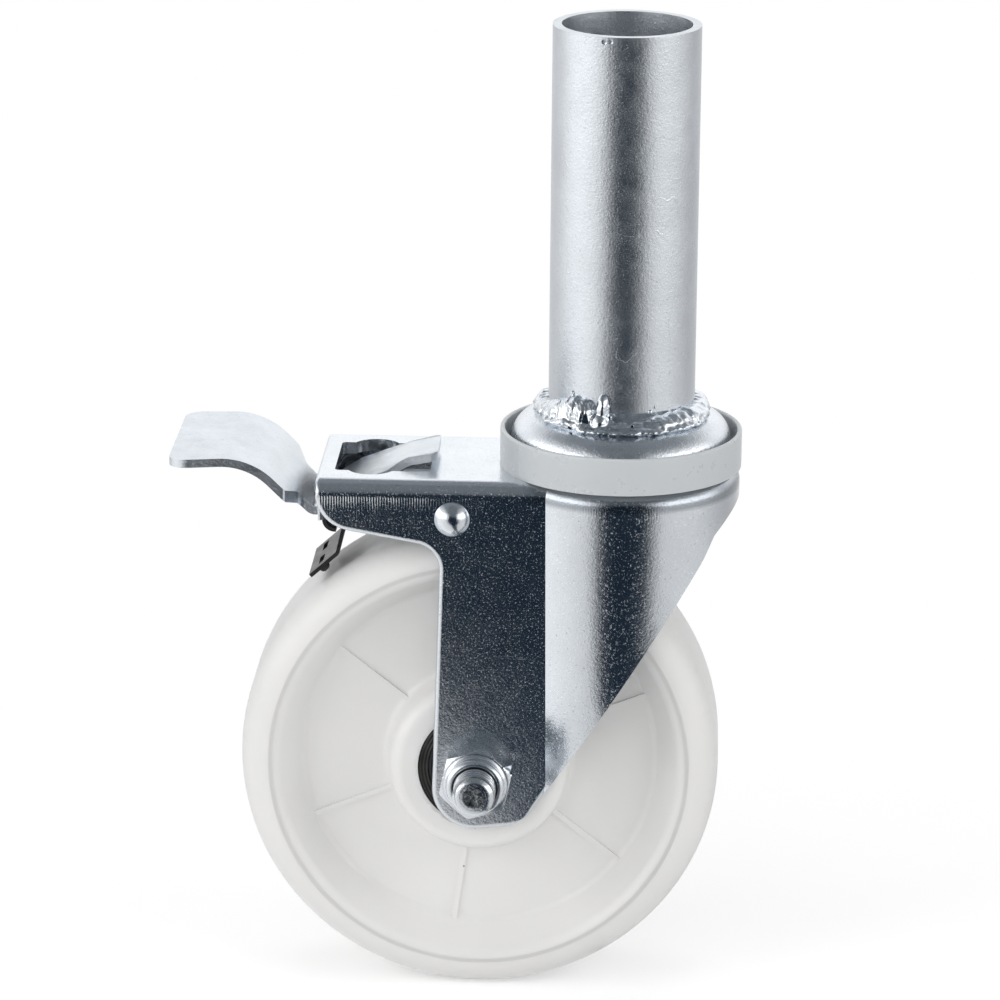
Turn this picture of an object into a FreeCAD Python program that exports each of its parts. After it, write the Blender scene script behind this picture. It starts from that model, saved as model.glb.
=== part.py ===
"""Scaffold castor: tube stem, ball-bearing swivel head, pressed fork, moulded wheel and total brake.

Millimetres. +Z is up along the swivel axis, the nose and pedal point to -X, the axle lies along Y.
The origin is on the swivel axis, on the top face of the head cap, where the stem tube stands.
"""
import FreeCAD, Part
import math
import os

from FreeCAD import Vector

# Stem tube and its weld
TUBE_OD = 48.3
TUBE_WALL = 2.9
STEM_LENGTH = 130.0
FOOT_BEVEL_IN = 2.0
FOOT_BEVEL_UP = 6.0
WELD_LEG_OUT = 5.8
WELD_TOE = 0.5
WELD_LUMPS = 23
WELD_LUMP_R = 3.6
WELD_LUMP_SINK = 3.4
WELD_LUMP_STRAY_RAD = 0.1
WELD_LUMP_SWELL = 0.12
WELD_STRAY_BEAT_RAD = 2.1
WELD_SWELL_BEAT_RAD = 1.7

# Head cap that carries the upper ball track
CAP_GAP = 1.9
CAP_SHEET = 3.5
CAP_SHOULDER_R = 9.0
CAP_DEPTH = 14.5

# Swivel balls and their tracks
UPPER_BALL_R = 4.0
UPPER_BALL_COUNT = 16
LOWER_BALL_R = 3.0
LOWER_BALL_INSET = 5.5
LOWER_BALL_COUNT = 14
TRACK_DEPTH = 1.0

# Kingpin, its nut and the toothed lower race
KINGPIN_R = 8.0
KINGPIN_CHAMFER = 1.5
KINGPIN_NUT_AF = 24.0
KINGPIN_NUT_HEIGHT = 15.0
KINGPIN_TAIL = 3.0
HEX_CHAMFER = 1.0
HEX_FACE_INSET = 0.3
LOWER_RACE_SHEET = 3.0
LOWER_RACE_INSET = 4.0
LOCK_RING_GAP = 4.6
LOCK_RING_WIDTH = 8.0
LOCK_RING_HEIGHT = 4.0
LOCK_TOOTH_CLEAR = 0.2
LOCK_TOOTH_COUNT = 36
LOCK_GAP_FLOOR = 0.45
LOCK_GAP_MOUTH = 1.3
RACE_GAP_SHARE = 0.62
BAR_GAP_SHARE = 0.5

# Pressed fork
FORK_TOP_Z = -17.3
FORK_SHEET = 4.0
FORK_HALF_WIDTH = 30.0
FORK_BEND_R = 5.0
CROWN_R = 39.6
CROWN_DISC_INSET = 7.6
DISC_STEP_R = 2.0
DISC_STEP_INNER_R = 0.8
CROWN_HOLE_R = 9.5
SKIRT_X = 0.8
SKIRT_END_R = 38.0
SKIRT_END_Z = -145.0
CHEEK_END_X = -6.0
FORK_EDGE_R = 1.6
NOSE_X = -99.4
NOSE_LOW_Z = -32.4
NOSE_CORNER_R = 13.0
THROAT_X = -58.3
THROAT_Z = -39.6
THROAT_R = 9.0
LEG_FRONT_X = -61.1
LEG_FOOT_Z = -139.3
LEG_FRONT_FOOT_R = 14.0
LEG_REAR_FOOT_X = -30.4
LEG_REAR_FOOT_Z = -135.6
LEG_REAR_FOOT_R = 12.0
SKIRT_KNEE_X = 28.0
SKIRT_KNEE_Z = -42.5
SKIRT_KNEE_R = 20.0
SKIRT_KINK_X = 31.6
SKIRT_KINK_Z = -35.0
SKIRT_KINK_R = 2.0
SKIRT_REAR_Z = -26.0

# Window in the top plate of the nose
WINDOW_X0 = -93.8
WINDOW_X1 = -62.4
WINDOW_HALF = 16.5
WINDOW_CORNER_R = 1.5
WINDOW_BULGE_X = -82.0
WINDOW_BULGE_R = 8.0
WINDOW_BULGE_HALF = 21.0

# Dust ring round the head
RING_PROUD = 0.4
RING_WALL = 1.6
RING_TOP_Z = -5.0
RING_FLANGE_WIDTH = 6.4
RING_FLANGE = 1.2
RING_EDGE_R = 0.6

# Wheel
AXLE_X = -45.6
AXLE_Z = -117.8
WHEEL_R = 80.0
WHEEL_HALF_WIDTH = 23.0
SHOULDER_R = 11.0
RIM_FACE_R = 67.5
RIM_FACE_ROUND = 5.0
RIM_FOOT_R = 59.5
WEB_HALF = 10.0
WEB_FILLET_R = 3.0
HUB_HALF = 24.5
HUB_R = 29.4
HUB_FOOT_R = 30.4
HUB_ROUND = 4.5
HUB_THROAT_R = 17.0
RIB_COUNT = 6
RIB_PHASE = 22.0
RIB_WIDTH = 1.6
RIB_HEIGHT = 0.9

# Sealed ball bearings in the hub
BEARING_OD = 40.0
BEARING_BORE = 17.0
BEARING_WIDTH = 12.0
BEARING_RECESS = 0.5
BEARING_BALL_R = 3.4
BEARING_BALL_COUNT = 8
BEARING_OUTER_LAND_R = 16.6
BEARING_INNER_LAND_R = 12.0
SEAL_THICK = 1.0
SEAL_INSET = 0.5

# Axle
BOLT_R = 7.0
BOLT_HEAD_AF = 22.0
BOLT_HEAD_HEIGHT = 8.8
BOLT_TIP_Y = -52.6
BOLT_CHAMFER = 1.6
BOLT_DIMPLE_R = 4.0
BOLT_DIMPLE_DEPTH = 0.6
NUT_AF = 22.0
NUT_HEX_HEIGHT = 10.5
NUT_HEIGHT = 14.0
NUT_CHAMFER = 1.6
NUT_COLLAR_R = 9.7
NUT_COLLAR_ROUND = 1.8
NUT_LIP = 0.6
NUT_LIP_GAP = 0.7
NUT_INSERT_WIDTH = 2.6
NUT_INSERT_WALL = 1.5
DISTANCE_TUBE_R = 11.0
SPACER_R = 12.0

# Cross rivet in the cheeks
RIVET_X = -54.3
RIVET_Z = -29.4
RIVET_R = 3.5
RIVET_HEAD_R = 5.8
RIVET_HEAD_HEIGHT = 3.4

# Brake lever: its top face in side view, from the pedal's end to the tab's end
LEVER_SHEET = 2.8
PEDAL_END_X = -147.6
PEDAL_END_Z = -11.4
PEDAL_KNEE_X = -120.6
PEDAL_KNEE_Z = -10.4
PEDAL_KNEE_R = 24.0
TROUGH_X = -100.3
TROUGH_Z = -30.7
TROUGH_R = 2.0
RAMP_KNEE_X = -87.5
RAMP_KNEE_Z = -22.0
RAMP_KNEE_R = 8.0
CREASE_X = -77.2
CREASE_Z = -18.1
CREASE_R = 2.0
TAB_KNEE_X = -70.2
TAB_KNEE_Z = -14.5
TAB_KNEE_R = 6.0
TAB_END_X = -60.2
TAB_END_Z = -12.2

# Brake lever in plan: half widths from the pedal's end to the tab's end
PEDAL_HALF = 29.6
PEDAL_CORNER_R = 6.0
PEDAL_REAR_X = -109.4
PEDAL_REAR_HALF = 27.2
PEDAL_REAR_R = 1.5
NECK_X = -105.9
NECK_HALF = 16.4
NECK_R = 2.5
NECK_ROOT_X = -98.8
NECK_ROOT_R = 0.8
EAR_FACE_Y = 24.0
RAMP_X = -95.5
TAB_HALF = 14.0
TAB_WAIST_X = -71.0
TAB_WAIST_HALF = 9.8
TAB_WAIST_R = 6.0
TAB_END_HALF = 11.4
TAB_CORNER_R = 2.5

# Pivot of the brake lever in the cheeks
PIVOT_X = -90.8
PIVOT_Z = -27.2
PIVOT_R = 2.5
PIVOT_SEAT = 2.5
EAR_R = 4.0
EAR_PIN_GAP = 0.8
EAR_SHEET = 3.4
BRAKE_TRAVEL_DEG = 5.5

# Brake blade of spring steel, rolled round a cross pin that two lugs of the lever hold
EYE_BACK = 3.2
EYE_DROP = 7.9
EYE_R = 4.2
EYE_MOUTH = 1.2
EYE_MOUTH_SHIFT = 0.5
BLADE_PIN_INSET = 0.5
BLADE_SHEET = 1.3
BLADE_HALF = 14.5
BLADE_END_X = -102.6
BLADE_END_Z = -54.4
BLADE_BEND_X = -93.7
BLADE_BEND_Z = -46.4
BLADE_BEND_R = 1.5
BLADE_NOTCH_HALF = 6.0
BLADE_NOTCH_Z = -42.5
BLADE_SLOT_LENGTH = 8.0
BLADE_SLOT_WIDTH = 2.2
BLADE_SLOT_Y = 7.5
LUG_INNER = 2.5
LUG_SHEET = 3.0
BRAKE_PAD_R = 1.9
BRAKE_PAD_HEIGHT = 1.8
BRAKE_PAD_ROUND = 1.4
BRAKE_PAD_PLACE = 0.42
BRAKE_PAD_Y = 11.5

# Lock bar under the top plate, pushed into the toothed ring by the blade
BAR_SHEET = 2.6
BAR_HALF = 6.0
BAR_LOW_Z = -39.5
BAR_RISE_X0 = -85.5
BAR_RISE_X1 = -72.0
BAR_BEND_R = 4.0

# Clearances
SAME_BODY_FIT = 0.05
SHEET_INNER_R = 0.4
RUNNING_FIT = 0.08
PART_GAP = 0.3
BOLT_HOLE_FIT = 0.25

# Sizes that follow from the ones above
TUBE_R = TUBE_OD / 2
TUBE_BORE_R = TUBE_R - TUBE_WALL
RING_R = CROWN_R + RING_PROUD
RING_FLANGE_R = RING_R - RING_FLANGE_WIDTH
CAP_R = RING_R - RING_WALL - CAP_GAP
LOCK_RING_R = CROWN_R - FORK_SHEET - LOCK_RING_GAP
LOCK_RING_BORE_R = LOCK_RING_R - LOCK_RING_WIDTH
LOWER_RACE_R = LOCK_RING_R - LOWER_RACE_INSET
LOWER_BALL_PITCH_R = LOWER_RACE_R - LOWER_BALL_INSET
UPPER_BALL_PITCH_R = (CAP_R - CAP_SHOULDER_R
                      + (CAP_SHOULDER_R - CAP_SHEET - UPPER_BALL_R - RUNNING_FIT) * math.sqrt(0.5))
UPPER_BALL_Z = (-CAP_SHOULDER_R
                + (CAP_SHOULDER_R - CAP_SHEET - UPPER_BALL_R - RUNNING_FIT) * math.sqrt(0.5))
DISC_TOP_Z = UPPER_BALL_Z - UPPER_BALL_R + TRACK_DEPTH
DISC_UNDER_Z = DISC_TOP_Z - FORK_SHEET
LOWER_BALL_Z = DISC_UNDER_Z - LOWER_BALL_R + TRACK_DEPTH
LOWER_RACE_TOP_Z = LOWER_BALL_Z - LOWER_BALL_R + TRACK_DEPTH
LOWER_RACE_UNDER_Z = LOWER_RACE_TOP_Z - LOWER_RACE_SHEET
CROWN_UNDER_Z = FORK_TOP_Z - FORK_SHEET
CROWN_DISC_R = CROWN_R - CROWN_DISC_INSET
FORK_INNER_HALF = FORK_HALF_WIDTH - FORK_SHEET
BEARING_FACE_Y = HUB_HALF - BEARING_RECESS
BEARING_PITCH_R = (BEARING_OUTER_LAND_R + BEARING_INNER_LAND_R) / 2
EYE_X = PIVOT_X - EYE_BACK
EYE_Z = PIVOT_Z - EYE_DROP
BAR_PUSH_ARM = PIVOT_Z - BAR_LOW_Z - BAR_SHEET
LOCK_TRAVEL = BAR_PUSH_ARM * math.radians(BRAKE_TRAVEL_DEG)
PIN_R = EYE_R - BLADE_SHEET - SAME_BODY_FIT
FAR = 400.0


def lengthwise(shape, axis, at):
    """Turn a shape made along +Z so that it runs along +Y or -Y, and move it to its place."""
    turned = shape.copy()
    if axis == "y":
        turned.rotate(Vector(0, 0, 0), Vector(1, 0, 0), -90)
    elif axis == "-y":
        turned.rotate(Vector(0, 0, 0), Vector(1, 0, 0), 90)
    turned.translate(Vector(*at))
    return turned


def cylinder(radius, low, high, axis="z", at=(0, 0, 0)):
    """A cylinder from low to high along the axis through the point at."""
    return lengthwise(Part.makeCylinder(radius, high - low, Vector(0, 0, low)), axis, at)


def tube(outer, inner, low, high, axis="z", at=(0, 0, 0)):
    ring = Part.makeCylinder(outer, high - low, Vector(0, 0, low)).cut(
        Part.makeCylinder(inner, high - low, Vector(0, 0, low)))
    return lengthwise(ring, axis, at)


def box(x0, x1, y0, y1, z0, z1):
    return Part.makeBox(x1 - x0, y1 - y0, z1 - z0, Vector(x0, y0, z0))


def place(plane, u, v):
    """A point of a flat outline: plane xz is a side view, xy a plan, rz a section to be turned."""
    return Vector(u, v, 0) if plane == "xy" else Vector(u, 0, v)


def rounded(points, plane, closed=True):
    """A wire through (u, v, radius) corners, each rounded with its own tangent arc."""
    corners = [(place(plane, u, v), radius) for u, v, radius in points]
    count = len(corners)
    stops = []
    for i, (corner, radius) in enumerate(corners):
        if radius <= 0 or (not closed and i in (0, count - 1)):
            stops.append((corner, None, corner))
            continue
        back = (corners[i - 1][0] - corner).normalize()
        ahead = (corners[(i + 1) % count][0] - corner).normalize()
        half = back.getAngle(ahead) / 2
        reach = radius / math.tan(half)
        middle = (back + ahead).normalize() * (radius / math.sin(half) - radius)
        stops.append((corner + back * reach, corner + middle, corner + ahead * reach))
    edges = []
    for i, (start, middle, end) in enumerate(stops):
        if middle is not None:
            edges.append(Part.Arc(start, middle, end).toShape())
        if i + 1 < count or closed:
            following = stops[(i + 1) % count][0]
            if end.distanceToPoint(following) > 1e-6:
                edges.append(Part.LineSegment(end, following).toShape())
    return Part.Wire(edges)


def turned(points, plane="rz"):
    """A solid of revolution about Z from a closed section of (r, z, radius) corners."""
    return Part.Face(rounded(points, plane)).revolve(Vector(0, 0, 0), Vector(0, 0, 1), 360)


def pressed(points, y0, y1):
    """A prism across the castor, from y0 to y1, with the side view given by its corners."""
    face = Part.Face(rounded(points, "xz"))
    face.translate(Vector(0, y0, 0))
    return face.extrude(Vector(0, y1 - y0, 0))


def cut_sheet(points, z0, z1):
    """A prism along Z with the plan given by its corners."""
    face = Part.Face(rounded(points, "xy"))
    face.translate(Vector(0, 0, z0))
    return face.extrude(Vector(0, 0, z1 - z0))


def strip(points, thickness, half_width):
    """Bent strip: (x, z, radius) corners of its upper face in side view, and the sheet below it."""
    corners = [Vector(x, 0, z) for x, z, _ in points]
    runs = [(b - a).normalize() for a, b in zip(corners, corners[1:])]
    under = []
    for i, (x, z, radius) in enumerate(points):
        before = runs[max(i - 1, 0)]
        after = runs[min(i, len(runs) - 1)]
        low_before = Vector(before.z, 0, -before.x)
        low_after = Vector(after.z, 0, -after.x)
        mitre = (low_before + low_after).normalize()
        drop = mitre * (thickness / mitre.dot(low_before))
        bends_down = before.cross(after).y > 0
        inner = radius - thickness if bends_down else radius + thickness
        under.append((x + drop.x, z + drop.z, max(inner, SHEET_INNER_R) if radius > 0 else 0))
    return pressed(points + under[::-1], -half_width, half_width)


def hexagon(across_flats, low, high, chamfer, both=False):
    """A hexagonal prism along Z with its high end chamfered, and its low end too if asked."""
    radius = across_flats / math.sqrt(3)
    corners = [(radius * math.cos(math.radians(60 * i)), radius * math.sin(math.radians(60 * i)), 0)
               for i in range(6)]
    prism = cut_sheet(corners, low, high)
    chamfer_r = across_flats / 2
    slope = math.tan(math.radians(30))
    rise = (chamfer + 1) * slope
    end = [(0, low, 0), (radius + 1, low, 0), (radius + 1, high - rise, 0),
           (chamfer_r - HEX_FACE_INSET, high, 0), (0, high, 0)]
    if both:
        end[0:2] = [(0, low, 0), (chamfer_r - HEX_FACE_INSET, low, 0),
                    (radius + 1, low + rise, 0)]
    return prism.common(turned(end))


def ball_ring(ball_r, pitch_r, count, z, axis="z", at=(0, 0, 0)):
    balls = []
    for i in range(count):
        angle = 2 * math.pi * i / count
        balls.append(Part.makeSphere(ball_r, Vector(pitch_r * math.cos(angle), pitch_r * math.sin(angle), z)))
    return lengthwise(Part.makeCompound(balls), axis, at)


def track(ball_r, pitch_r, z):
    """The ring that a ball row sweeps, with its running fit."""
    return Part.makeTorus(pitch_r, ball_r + RUNNING_FIT, Vector(0, 0, z))


def bevelled(outer):
    """Solid of revolution inside the tube's outer face, its foot bevelled for the weld."""
    return turned([(0, 0, 0), (outer - FOOT_BEVEL_IN, 0, 0), (outer, FOOT_BEVEL_UP, 0),
                   (outer, STEM_LENGTH, 0), (0, STEM_LENGTH, 0)])


def stem_tube():
    """Plain tube, open at the top, with a weld bevel round its foot."""
    return bevelled(TUBE_R).cut(cylinder(TUBE_BORE_R, -1, STEM_LENGTH + 1))


def weld_bead():
    """Fillet weld in the foot's bevel, laid in overlapping runs that leave a scalloped toe."""
    outer = TUBE_R + WELD_LEG_OUT
    bead = turned([(TUBE_BORE_R, 0, 0), (outer, 0, 0), (outer, WELD_TOE, 0),
                   (TUBE_R + WELD_TOE, FOOT_BEVEL_UP, WELD_TOE / 2), (TUBE_BORE_R, FOOT_BEVEL_UP, 0)])
    lumps = []
    for i in range(WELD_LUMPS):
        angle = 2 * math.pi * i / WELD_LUMPS + WELD_LUMP_STRAY_RAD * math.sin(WELD_STRAY_BEAT_RAD * i)
        size = WELD_LUMP_R * (1 + WELD_LUMP_SWELL * math.sin(WELD_SWELL_BEAT_RAD * i))
        reach = outer - WELD_LUMP_SINK
        centre = Vector(reach * math.cos(angle), reach * math.sin(angle), WELD_TOE)
        lumps.append(Part.makeSphere(size, centre))
    bead = bead.fuse(lumps).common(cylinder(outer + WELD_LUMP_R, 0, FOOT_BEVEL_UP))
    return bead.cut(bevelled(TUBE_R + SAME_BODY_FIT)).removeSplitter()


def head_cap():
    """Pressed cap: flat top under the tube, round shoulder, skirt down inside the dust ring."""
    inner_r = CAP_R - CAP_SHEET
    cap = turned([(0, 0, 0), (CAP_R, 0, CAP_SHOULDER_R), (CAP_R, -CAP_DEPTH, 0), (inner_r, -CAP_DEPTH, 0),
                  (inner_r, -CAP_SHEET, CAP_SHOULDER_R - CAP_SHEET), (0, -CAP_SHEET, 0)])
    hole = cylinder(KINGPIN_R + SAME_BODY_FIT, -CAP_SHEET - 1, 1)
    return cap.cut(hole).cut(countersink(SAME_BODY_FIT))


def countersink(fit):
    """Cone of the kingpin's head, flush with the cap's top face."""
    top_r = KINGPIN_R + CAP_SHEET + fit
    return Part.makeCone(KINGPIN_R + fit, top_r, CAP_SHEET, Vector(0, 0, -CAP_SHEET))


def kingpin():
    tail_z = LOWER_RACE_UNDER_Z - KINGPIN_NUT_HEIGHT - KINGPIN_TAIL
    shank = turned([(0, -CAP_SHEET / 2, 0), (KINGPIN_R, -CAP_SHEET / 2, 0),
                    (KINGPIN_R, tail_z + KINGPIN_CHAMFER, 0),
                    (KINGPIN_R - KINGPIN_CHAMFER, tail_z, 0), (0, tail_z, 0)])
    return shank.fuse(countersink(0)).removeSplitter()


def kingpin_nut():
    nut = hexagon(KINGPIN_NUT_AF, LOWER_RACE_UNDER_Z - KINGPIN_NUT_HEIGHT, LOWER_RACE_UNDER_Z, HEX_CHAMFER,
                  both=True)
    return nut.cut(cylinder(KINGPIN_R + SAME_BODY_FIT, -FAR, 0))


def toothed_disc(tip_r, gap_depth, gap_scale, low, high):
    """Disc with V-shaped gaps all round its rim; the scale widens or narrows the gaps."""
    half = tip_r * math.tan(math.pi / LOCK_TOOTH_COUNT) * gap_scale
    gaps = []
    for i in range(LOCK_TOOTH_COUNT):
        gap = cut_sheet([(tip_r - gap_depth, -half * LOCK_GAP_FLOOR, 0), (tip_r + 1, -half * LOCK_GAP_MOUTH, 0),
                         (tip_r + 1, half * LOCK_GAP_MOUTH, 0), (tip_r - gap_depth, half * LOCK_GAP_FLOOR, 0)],
                        low - 1, high + 1)
        gap.rotate(Vector(0, 0, 0), Vector(0, 0, 1), 360.0 * i / LOCK_TOOTH_COUNT)
        gaps.append(gap)
    return cylinder(tip_r, low, high).cut(Part.makeCompound(gaps))


def lower_race():
    """Lower ball track with a toothed rim that the lock bar catches."""
    ring_low = LOWER_RACE_UNDER_Z - LOCK_RING_HEIGHT
    plate = tube(LOWER_RACE_R, KINGPIN_R + SAME_BODY_FIT, LOWER_RACE_UNDER_Z, LOWER_RACE_TOP_Z)
    plate = plate.cut(track(LOWER_BALL_R, LOWER_BALL_PITCH_R, LOWER_BALL_Z))
    rim = toothed_disc(LOCK_RING_R, LOCK_TRAVEL, RACE_GAP_SHARE, ring_low, LOWER_RACE_UNDER_Z)
    rim = rim.cut(cylinder(LOCK_RING_BORE_R, ring_low - 1, LOWER_RACE_UNDER_Z + 1))
    return plate.fuse(rim).removeSplitter()


def nose_block(inset):
    """Closed form of the nose and cheeks, with the two long top edges bent round."""
    top = FORK_TOP_Z - inset
    half = FORK_HALF_WIDTH - inset
    block = box(NOSE_X - FORK_SHEET, CHEEK_END_X, -half, half, SKIRT_END_Z, top)
    long_top = [e for e in block.Edges
                if abs(e.CenterOfMass.z - top) < 0.01 and abs(abs(e.CenterOfMass.y) - half) < 0.01]
    return block.makeFillet(FORK_BEND_R - inset, long_top)


def skirt_block(inset):
    """Closed form of the crown and the skirt below it, nearly a cylinder."""
    top = FORK_TOP_Z - inset
    skirt = turned([(0, top, 0), (CROWN_R - SKIRT_X - inset, top, FORK_BEND_R - inset),
                    (SKIRT_END_R - inset, SKIRT_END_Z, 0), (0, SKIRT_END_Z, 0)])
    skirt.translate(Vector(SKIRT_X, 0, 0))
    return skirt


def fork_side_view():
    """Outline of the fork seen from the side: nose, throat, leg and slanted rear edge."""
    return pressed([(NOSE_X, FORK_TOP_Z + 1, 0), (NOSE_X, NOSE_LOW_Z, NOSE_CORNER_R),
                    (THROAT_X, THROAT_Z, THROAT_R), (LEG_FRONT_X, LEG_FOOT_Z, LEG_FRONT_FOOT_R),
                    (LEG_REAR_FOOT_X, LEG_REAR_FOOT_Z, LEG_REAR_FOOT_R),
                    (SKIRT_KNEE_X, SKIRT_KNEE_Z, SKIRT_KNEE_R), (SKIRT_KINK_X, SKIRT_KINK_Z, SKIRT_KINK_R),
                    (CROWN_R + 1, SKIRT_REAR_Z, 0), (CROWN_R + 1, FORK_TOP_Z + 1, 0)],
                   -CROWN_R - 1, CROWN_R + 1)


def rolled_edges(block):
    """Round the cheeks' outline where the press tool drew the sheet's edge over."""
    outline = [e for e in block.Edges
               if abs(abs(e.CenterOfMass.y) - FORK_HALF_WIDTH) < 0.01 and e.CenterOfMass.x < CHEEK_END_X - 1
               and e.CenterOfMass.z < FORK_TOP_Z - FORK_BEND_R - 1]
    return block.makeFillet(FORK_EDGE_R, outline)


def window():
    """Opening in the nose's top plate, with the round swellings of its long edges."""
    low = CROWN_UNDER_Z - 1
    high = FORK_TOP_Z + 1
    corners = [(WINDOW_X0, -WINDOW_HALF), (WINDOW_X1, -WINDOW_HALF), (WINDOW_X1, WINDOW_HALF),
               (WINDOW_X0, WINDOW_HALF)]
    opening = cut_sheet([(x, y, WINDOW_CORNER_R) for x, y in corners], low, high)
    for side in (-1, 1):
        centre = side * (WINDOW_BULGE_HALF - WINDOW_BULGE_R)
        opening = opening.fuse(cylinder(WINDOW_BULGE_R, low, high, at=(WINDOW_BULGE_X, centre, 0)))
    return opening


def fork():
    """Pressed fork: crown with a raised ball disc, nose with a window, two cheeks and the skirt."""
    cheeks = rolled_edges(nose_block(0).common(fork_side_view()))
    hollow = nose_block(FORK_SHEET).fuse(skirt_block(FORK_SHEET))
    shell = cheeks.fuse(skirt_block(0).common(fork_side_view())).cut(hollow)
    disc = turned([(CROWN_HOLE_R, DISC_TOP_Z, 0), (CROWN_DISC_R, DISC_TOP_Z, DISC_STEP_R),
                   (CROWN_DISC_R, CROWN_UNDER_Z, 0), (CROWN_DISC_R - FORK_SHEET, CROWN_UNDER_Z, 0),
                   (CROWN_DISC_R - FORK_SHEET, DISC_UNDER_Z, DISC_STEP_INNER_R),
                   (CROWN_HOLE_R, DISC_UNDER_Z, 0)])
    shell = shell.cut(cylinder(CROWN_DISC_R - FORK_SHEET / 2, CROWN_UNDER_Z - 1, FORK_TOP_Z + 1)).fuse(disc)
    shell = shell.cut(track(UPPER_BALL_R, UPPER_BALL_PITCH_R, UPPER_BALL_Z))
    shell = shell.cut(track(LOWER_BALL_R, LOWER_BALL_PITCH_R, LOWER_BALL_Z))
    shell = shell.cut(window())
    shell = shell.cut(cylinder(BOLT_R + BOLT_HOLE_FIT, -CROWN_R, CROWN_R, "y", (AXLE_X, 0, AXLE_Z)))
    shell = shell.cut(cylinder(RIVET_R + SAME_BODY_FIT, -CROWN_R, CROWN_R, "y", (RIVET_X, 0, RIVET_Z)))
    seat = FORK_INNER_HALF + PIVOT_SEAT
    shell = shell.cut(cylinder(PIVOT_R + SAME_BODY_FIT, -seat, seat, "y", (PIVOT_X, 0, PIVOT_Z)))
    return shell.removeSplitter()


def dust_ring():
    inner = RING_R - RING_WALL
    flange_top = FORK_TOP_Z + RING_FLANGE
    return turned([(RING_R, FORK_TOP_Z, 0), (RING_R, RING_TOP_Z, RING_EDGE_R),
                   (inner, RING_TOP_Z, RING_EDGE_R), (inner, flange_top, 0),
                   (RING_FLANGE_R, flange_top, 0), (RING_FLANGE_R, FORK_TOP_Z, 0)])


def cross_rivet():
    """Rivet through both cheeks with a domed head on each side."""
    shank = cylinder(RIVET_R, -FORK_HALF_WIDTH, FORK_HALF_WIDTH)
    sphere_r = (RIVET_HEAD_R ** 2 + RIVET_HEAD_HEIGHT ** 2) / (2 * RIVET_HEAD_HEIGHT)
    crown = FORK_HALF_WIDTH + RIVET_HEAD_HEIGHT
    for side in (-1, 1):
        dome = Part.makeSphere(sphere_r, Vector(0, 0, side * (crown - sphere_r)))
        low = FORK_HALF_WIDTH if side > 0 else -crown
        shank = shank.fuse(dome.common(cylinder(RIVET_HEAD_R + 1, low, low + RIVET_HEAD_HEIGHT)))
    return lengthwise(shank.removeSplitter(), "y", (RIVET_X, 0, RIVET_Z))


def wheel_section():
    """Half section of the wheel on one side of its middle plane, as (r, y, radius) corners."""
    return [(0, 0, 0), (WHEEL_R, 0, 0), (WHEEL_R, WHEEL_HALF_WIDTH, SHOULDER_R),
            (RIM_FACE_R, WHEEL_HALF_WIDTH, RIM_FACE_ROUND), (RIM_FOOT_R, WEB_HALF, WEB_FILLET_R),
            (HUB_FOOT_R, WEB_HALF, WEB_FILLET_R), (HUB_R, HUB_HALF, HUB_ROUND), (0, HUB_HALF, 0)]


def wheel():
    """Moulded wheel: tread and rim, web with six low ribs a side, hub with two bearing seats."""
    half = turned(wheel_section())
    for i in range(RIB_COUNT):
        rib = box(HUB_R - 1, RIM_FOOT_R + 2, -RIB_WIDTH / 2, RIB_WIDTH / 2, 0, WEB_HALF + RIB_HEIGHT)
        rib.rotate(Vector(0, 0, 0), Vector(0, 0, 1), RIB_PHASE + 360.0 * i / RIB_COUNT)
        half = half.fuse(rib)
    far_half = half.mirror(Vector(0, 0, 0), Vector(0, 0, 1))
    body = half.fuse(far_half).removeSplitter()
    body = body.cut(cylinder(HUB_THROAT_R, -HUB_HALF - 1, HUB_HALF + 1))
    seat_low = BEARING_FACE_Y - BEARING_WIDTH
    for low, high in ((seat_low, HUB_HALF + 1), (-HUB_HALF - 1, -seat_low)):
        body = body.cut(cylinder(BEARING_OD / 2 + SAME_BODY_FIT, low, high))
    return lengthwise(body, "-y", (AXLE_X, 0, AXLE_Z))


def on_axle(shape, side):
    """Bring a bearing part made with its open face at z = 0 to the near (-1) or far (1) hub face."""
    axis = "y" if side > 0 else "-y"
    return lengthwise(shape, axis, (AXLE_X, side * BEARING_FACE_Y, AXLE_Z))


def bearing_outer_ring(side):
    ring = tube(BEARING_OD / 2, BEARING_OUTER_LAND_R, -BEARING_WIDTH, 0)
    ring = ring.cut(track(BEARING_BALL_R, BEARING_PITCH_R, -BEARING_WIDTH / 2))
    return on_axle(ring, side)


def bearing_inner_ring(side):
    ring = tube(BEARING_INNER_LAND_R, BEARING_BORE / 2, -BEARING_WIDTH, 0)
    ring = ring.cut(track(BEARING_BALL_R, BEARING_PITCH_R, -BEARING_WIDTH / 2))
    return on_axle(ring, side)


def bearing_balls(side):
    return on_axle(ball_ring(BEARING_BALL_R, BEARING_PITCH_R, BEARING_BALL_COUNT, -BEARING_WIDTH / 2), side)


def bearing_seals(side):
    """Two rubber washers that close one bearing, held in its outer ring."""
    seals = []
    for low in (-SEAL_INSET - SEAL_THICK, -BEARING_WIDTH + SEAL_INSET):
        seals.append(tube(BEARING_OUTER_LAND_R - SAME_BODY_FIT, BEARING_INNER_LAND_R + PART_GAP, low,
                          low + SEAL_THICK))
    return on_axle(Part.makeCompound(seals), side)


def axle_sleeve():
    """Steel tube between the cheeks, inside both bearings, round the bolt."""
    return tube(BEARING_BORE / 2 - SAME_BODY_FIT, BOLT_R + BOLT_HOLE_FIT, -FORK_INNER_HALF, FORK_INNER_HALF,
                "y", (AXLE_X, 0, AXLE_Z))


def distance_tube():
    """Keeps the two inner rings apart."""
    half = BEARING_FACE_Y - BEARING_WIDTH
    return tube(DISTANCE_TUBE_R, BEARING_BORE / 2, -half, half, "y", (AXLE_X, 0, AXLE_Z))


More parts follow.
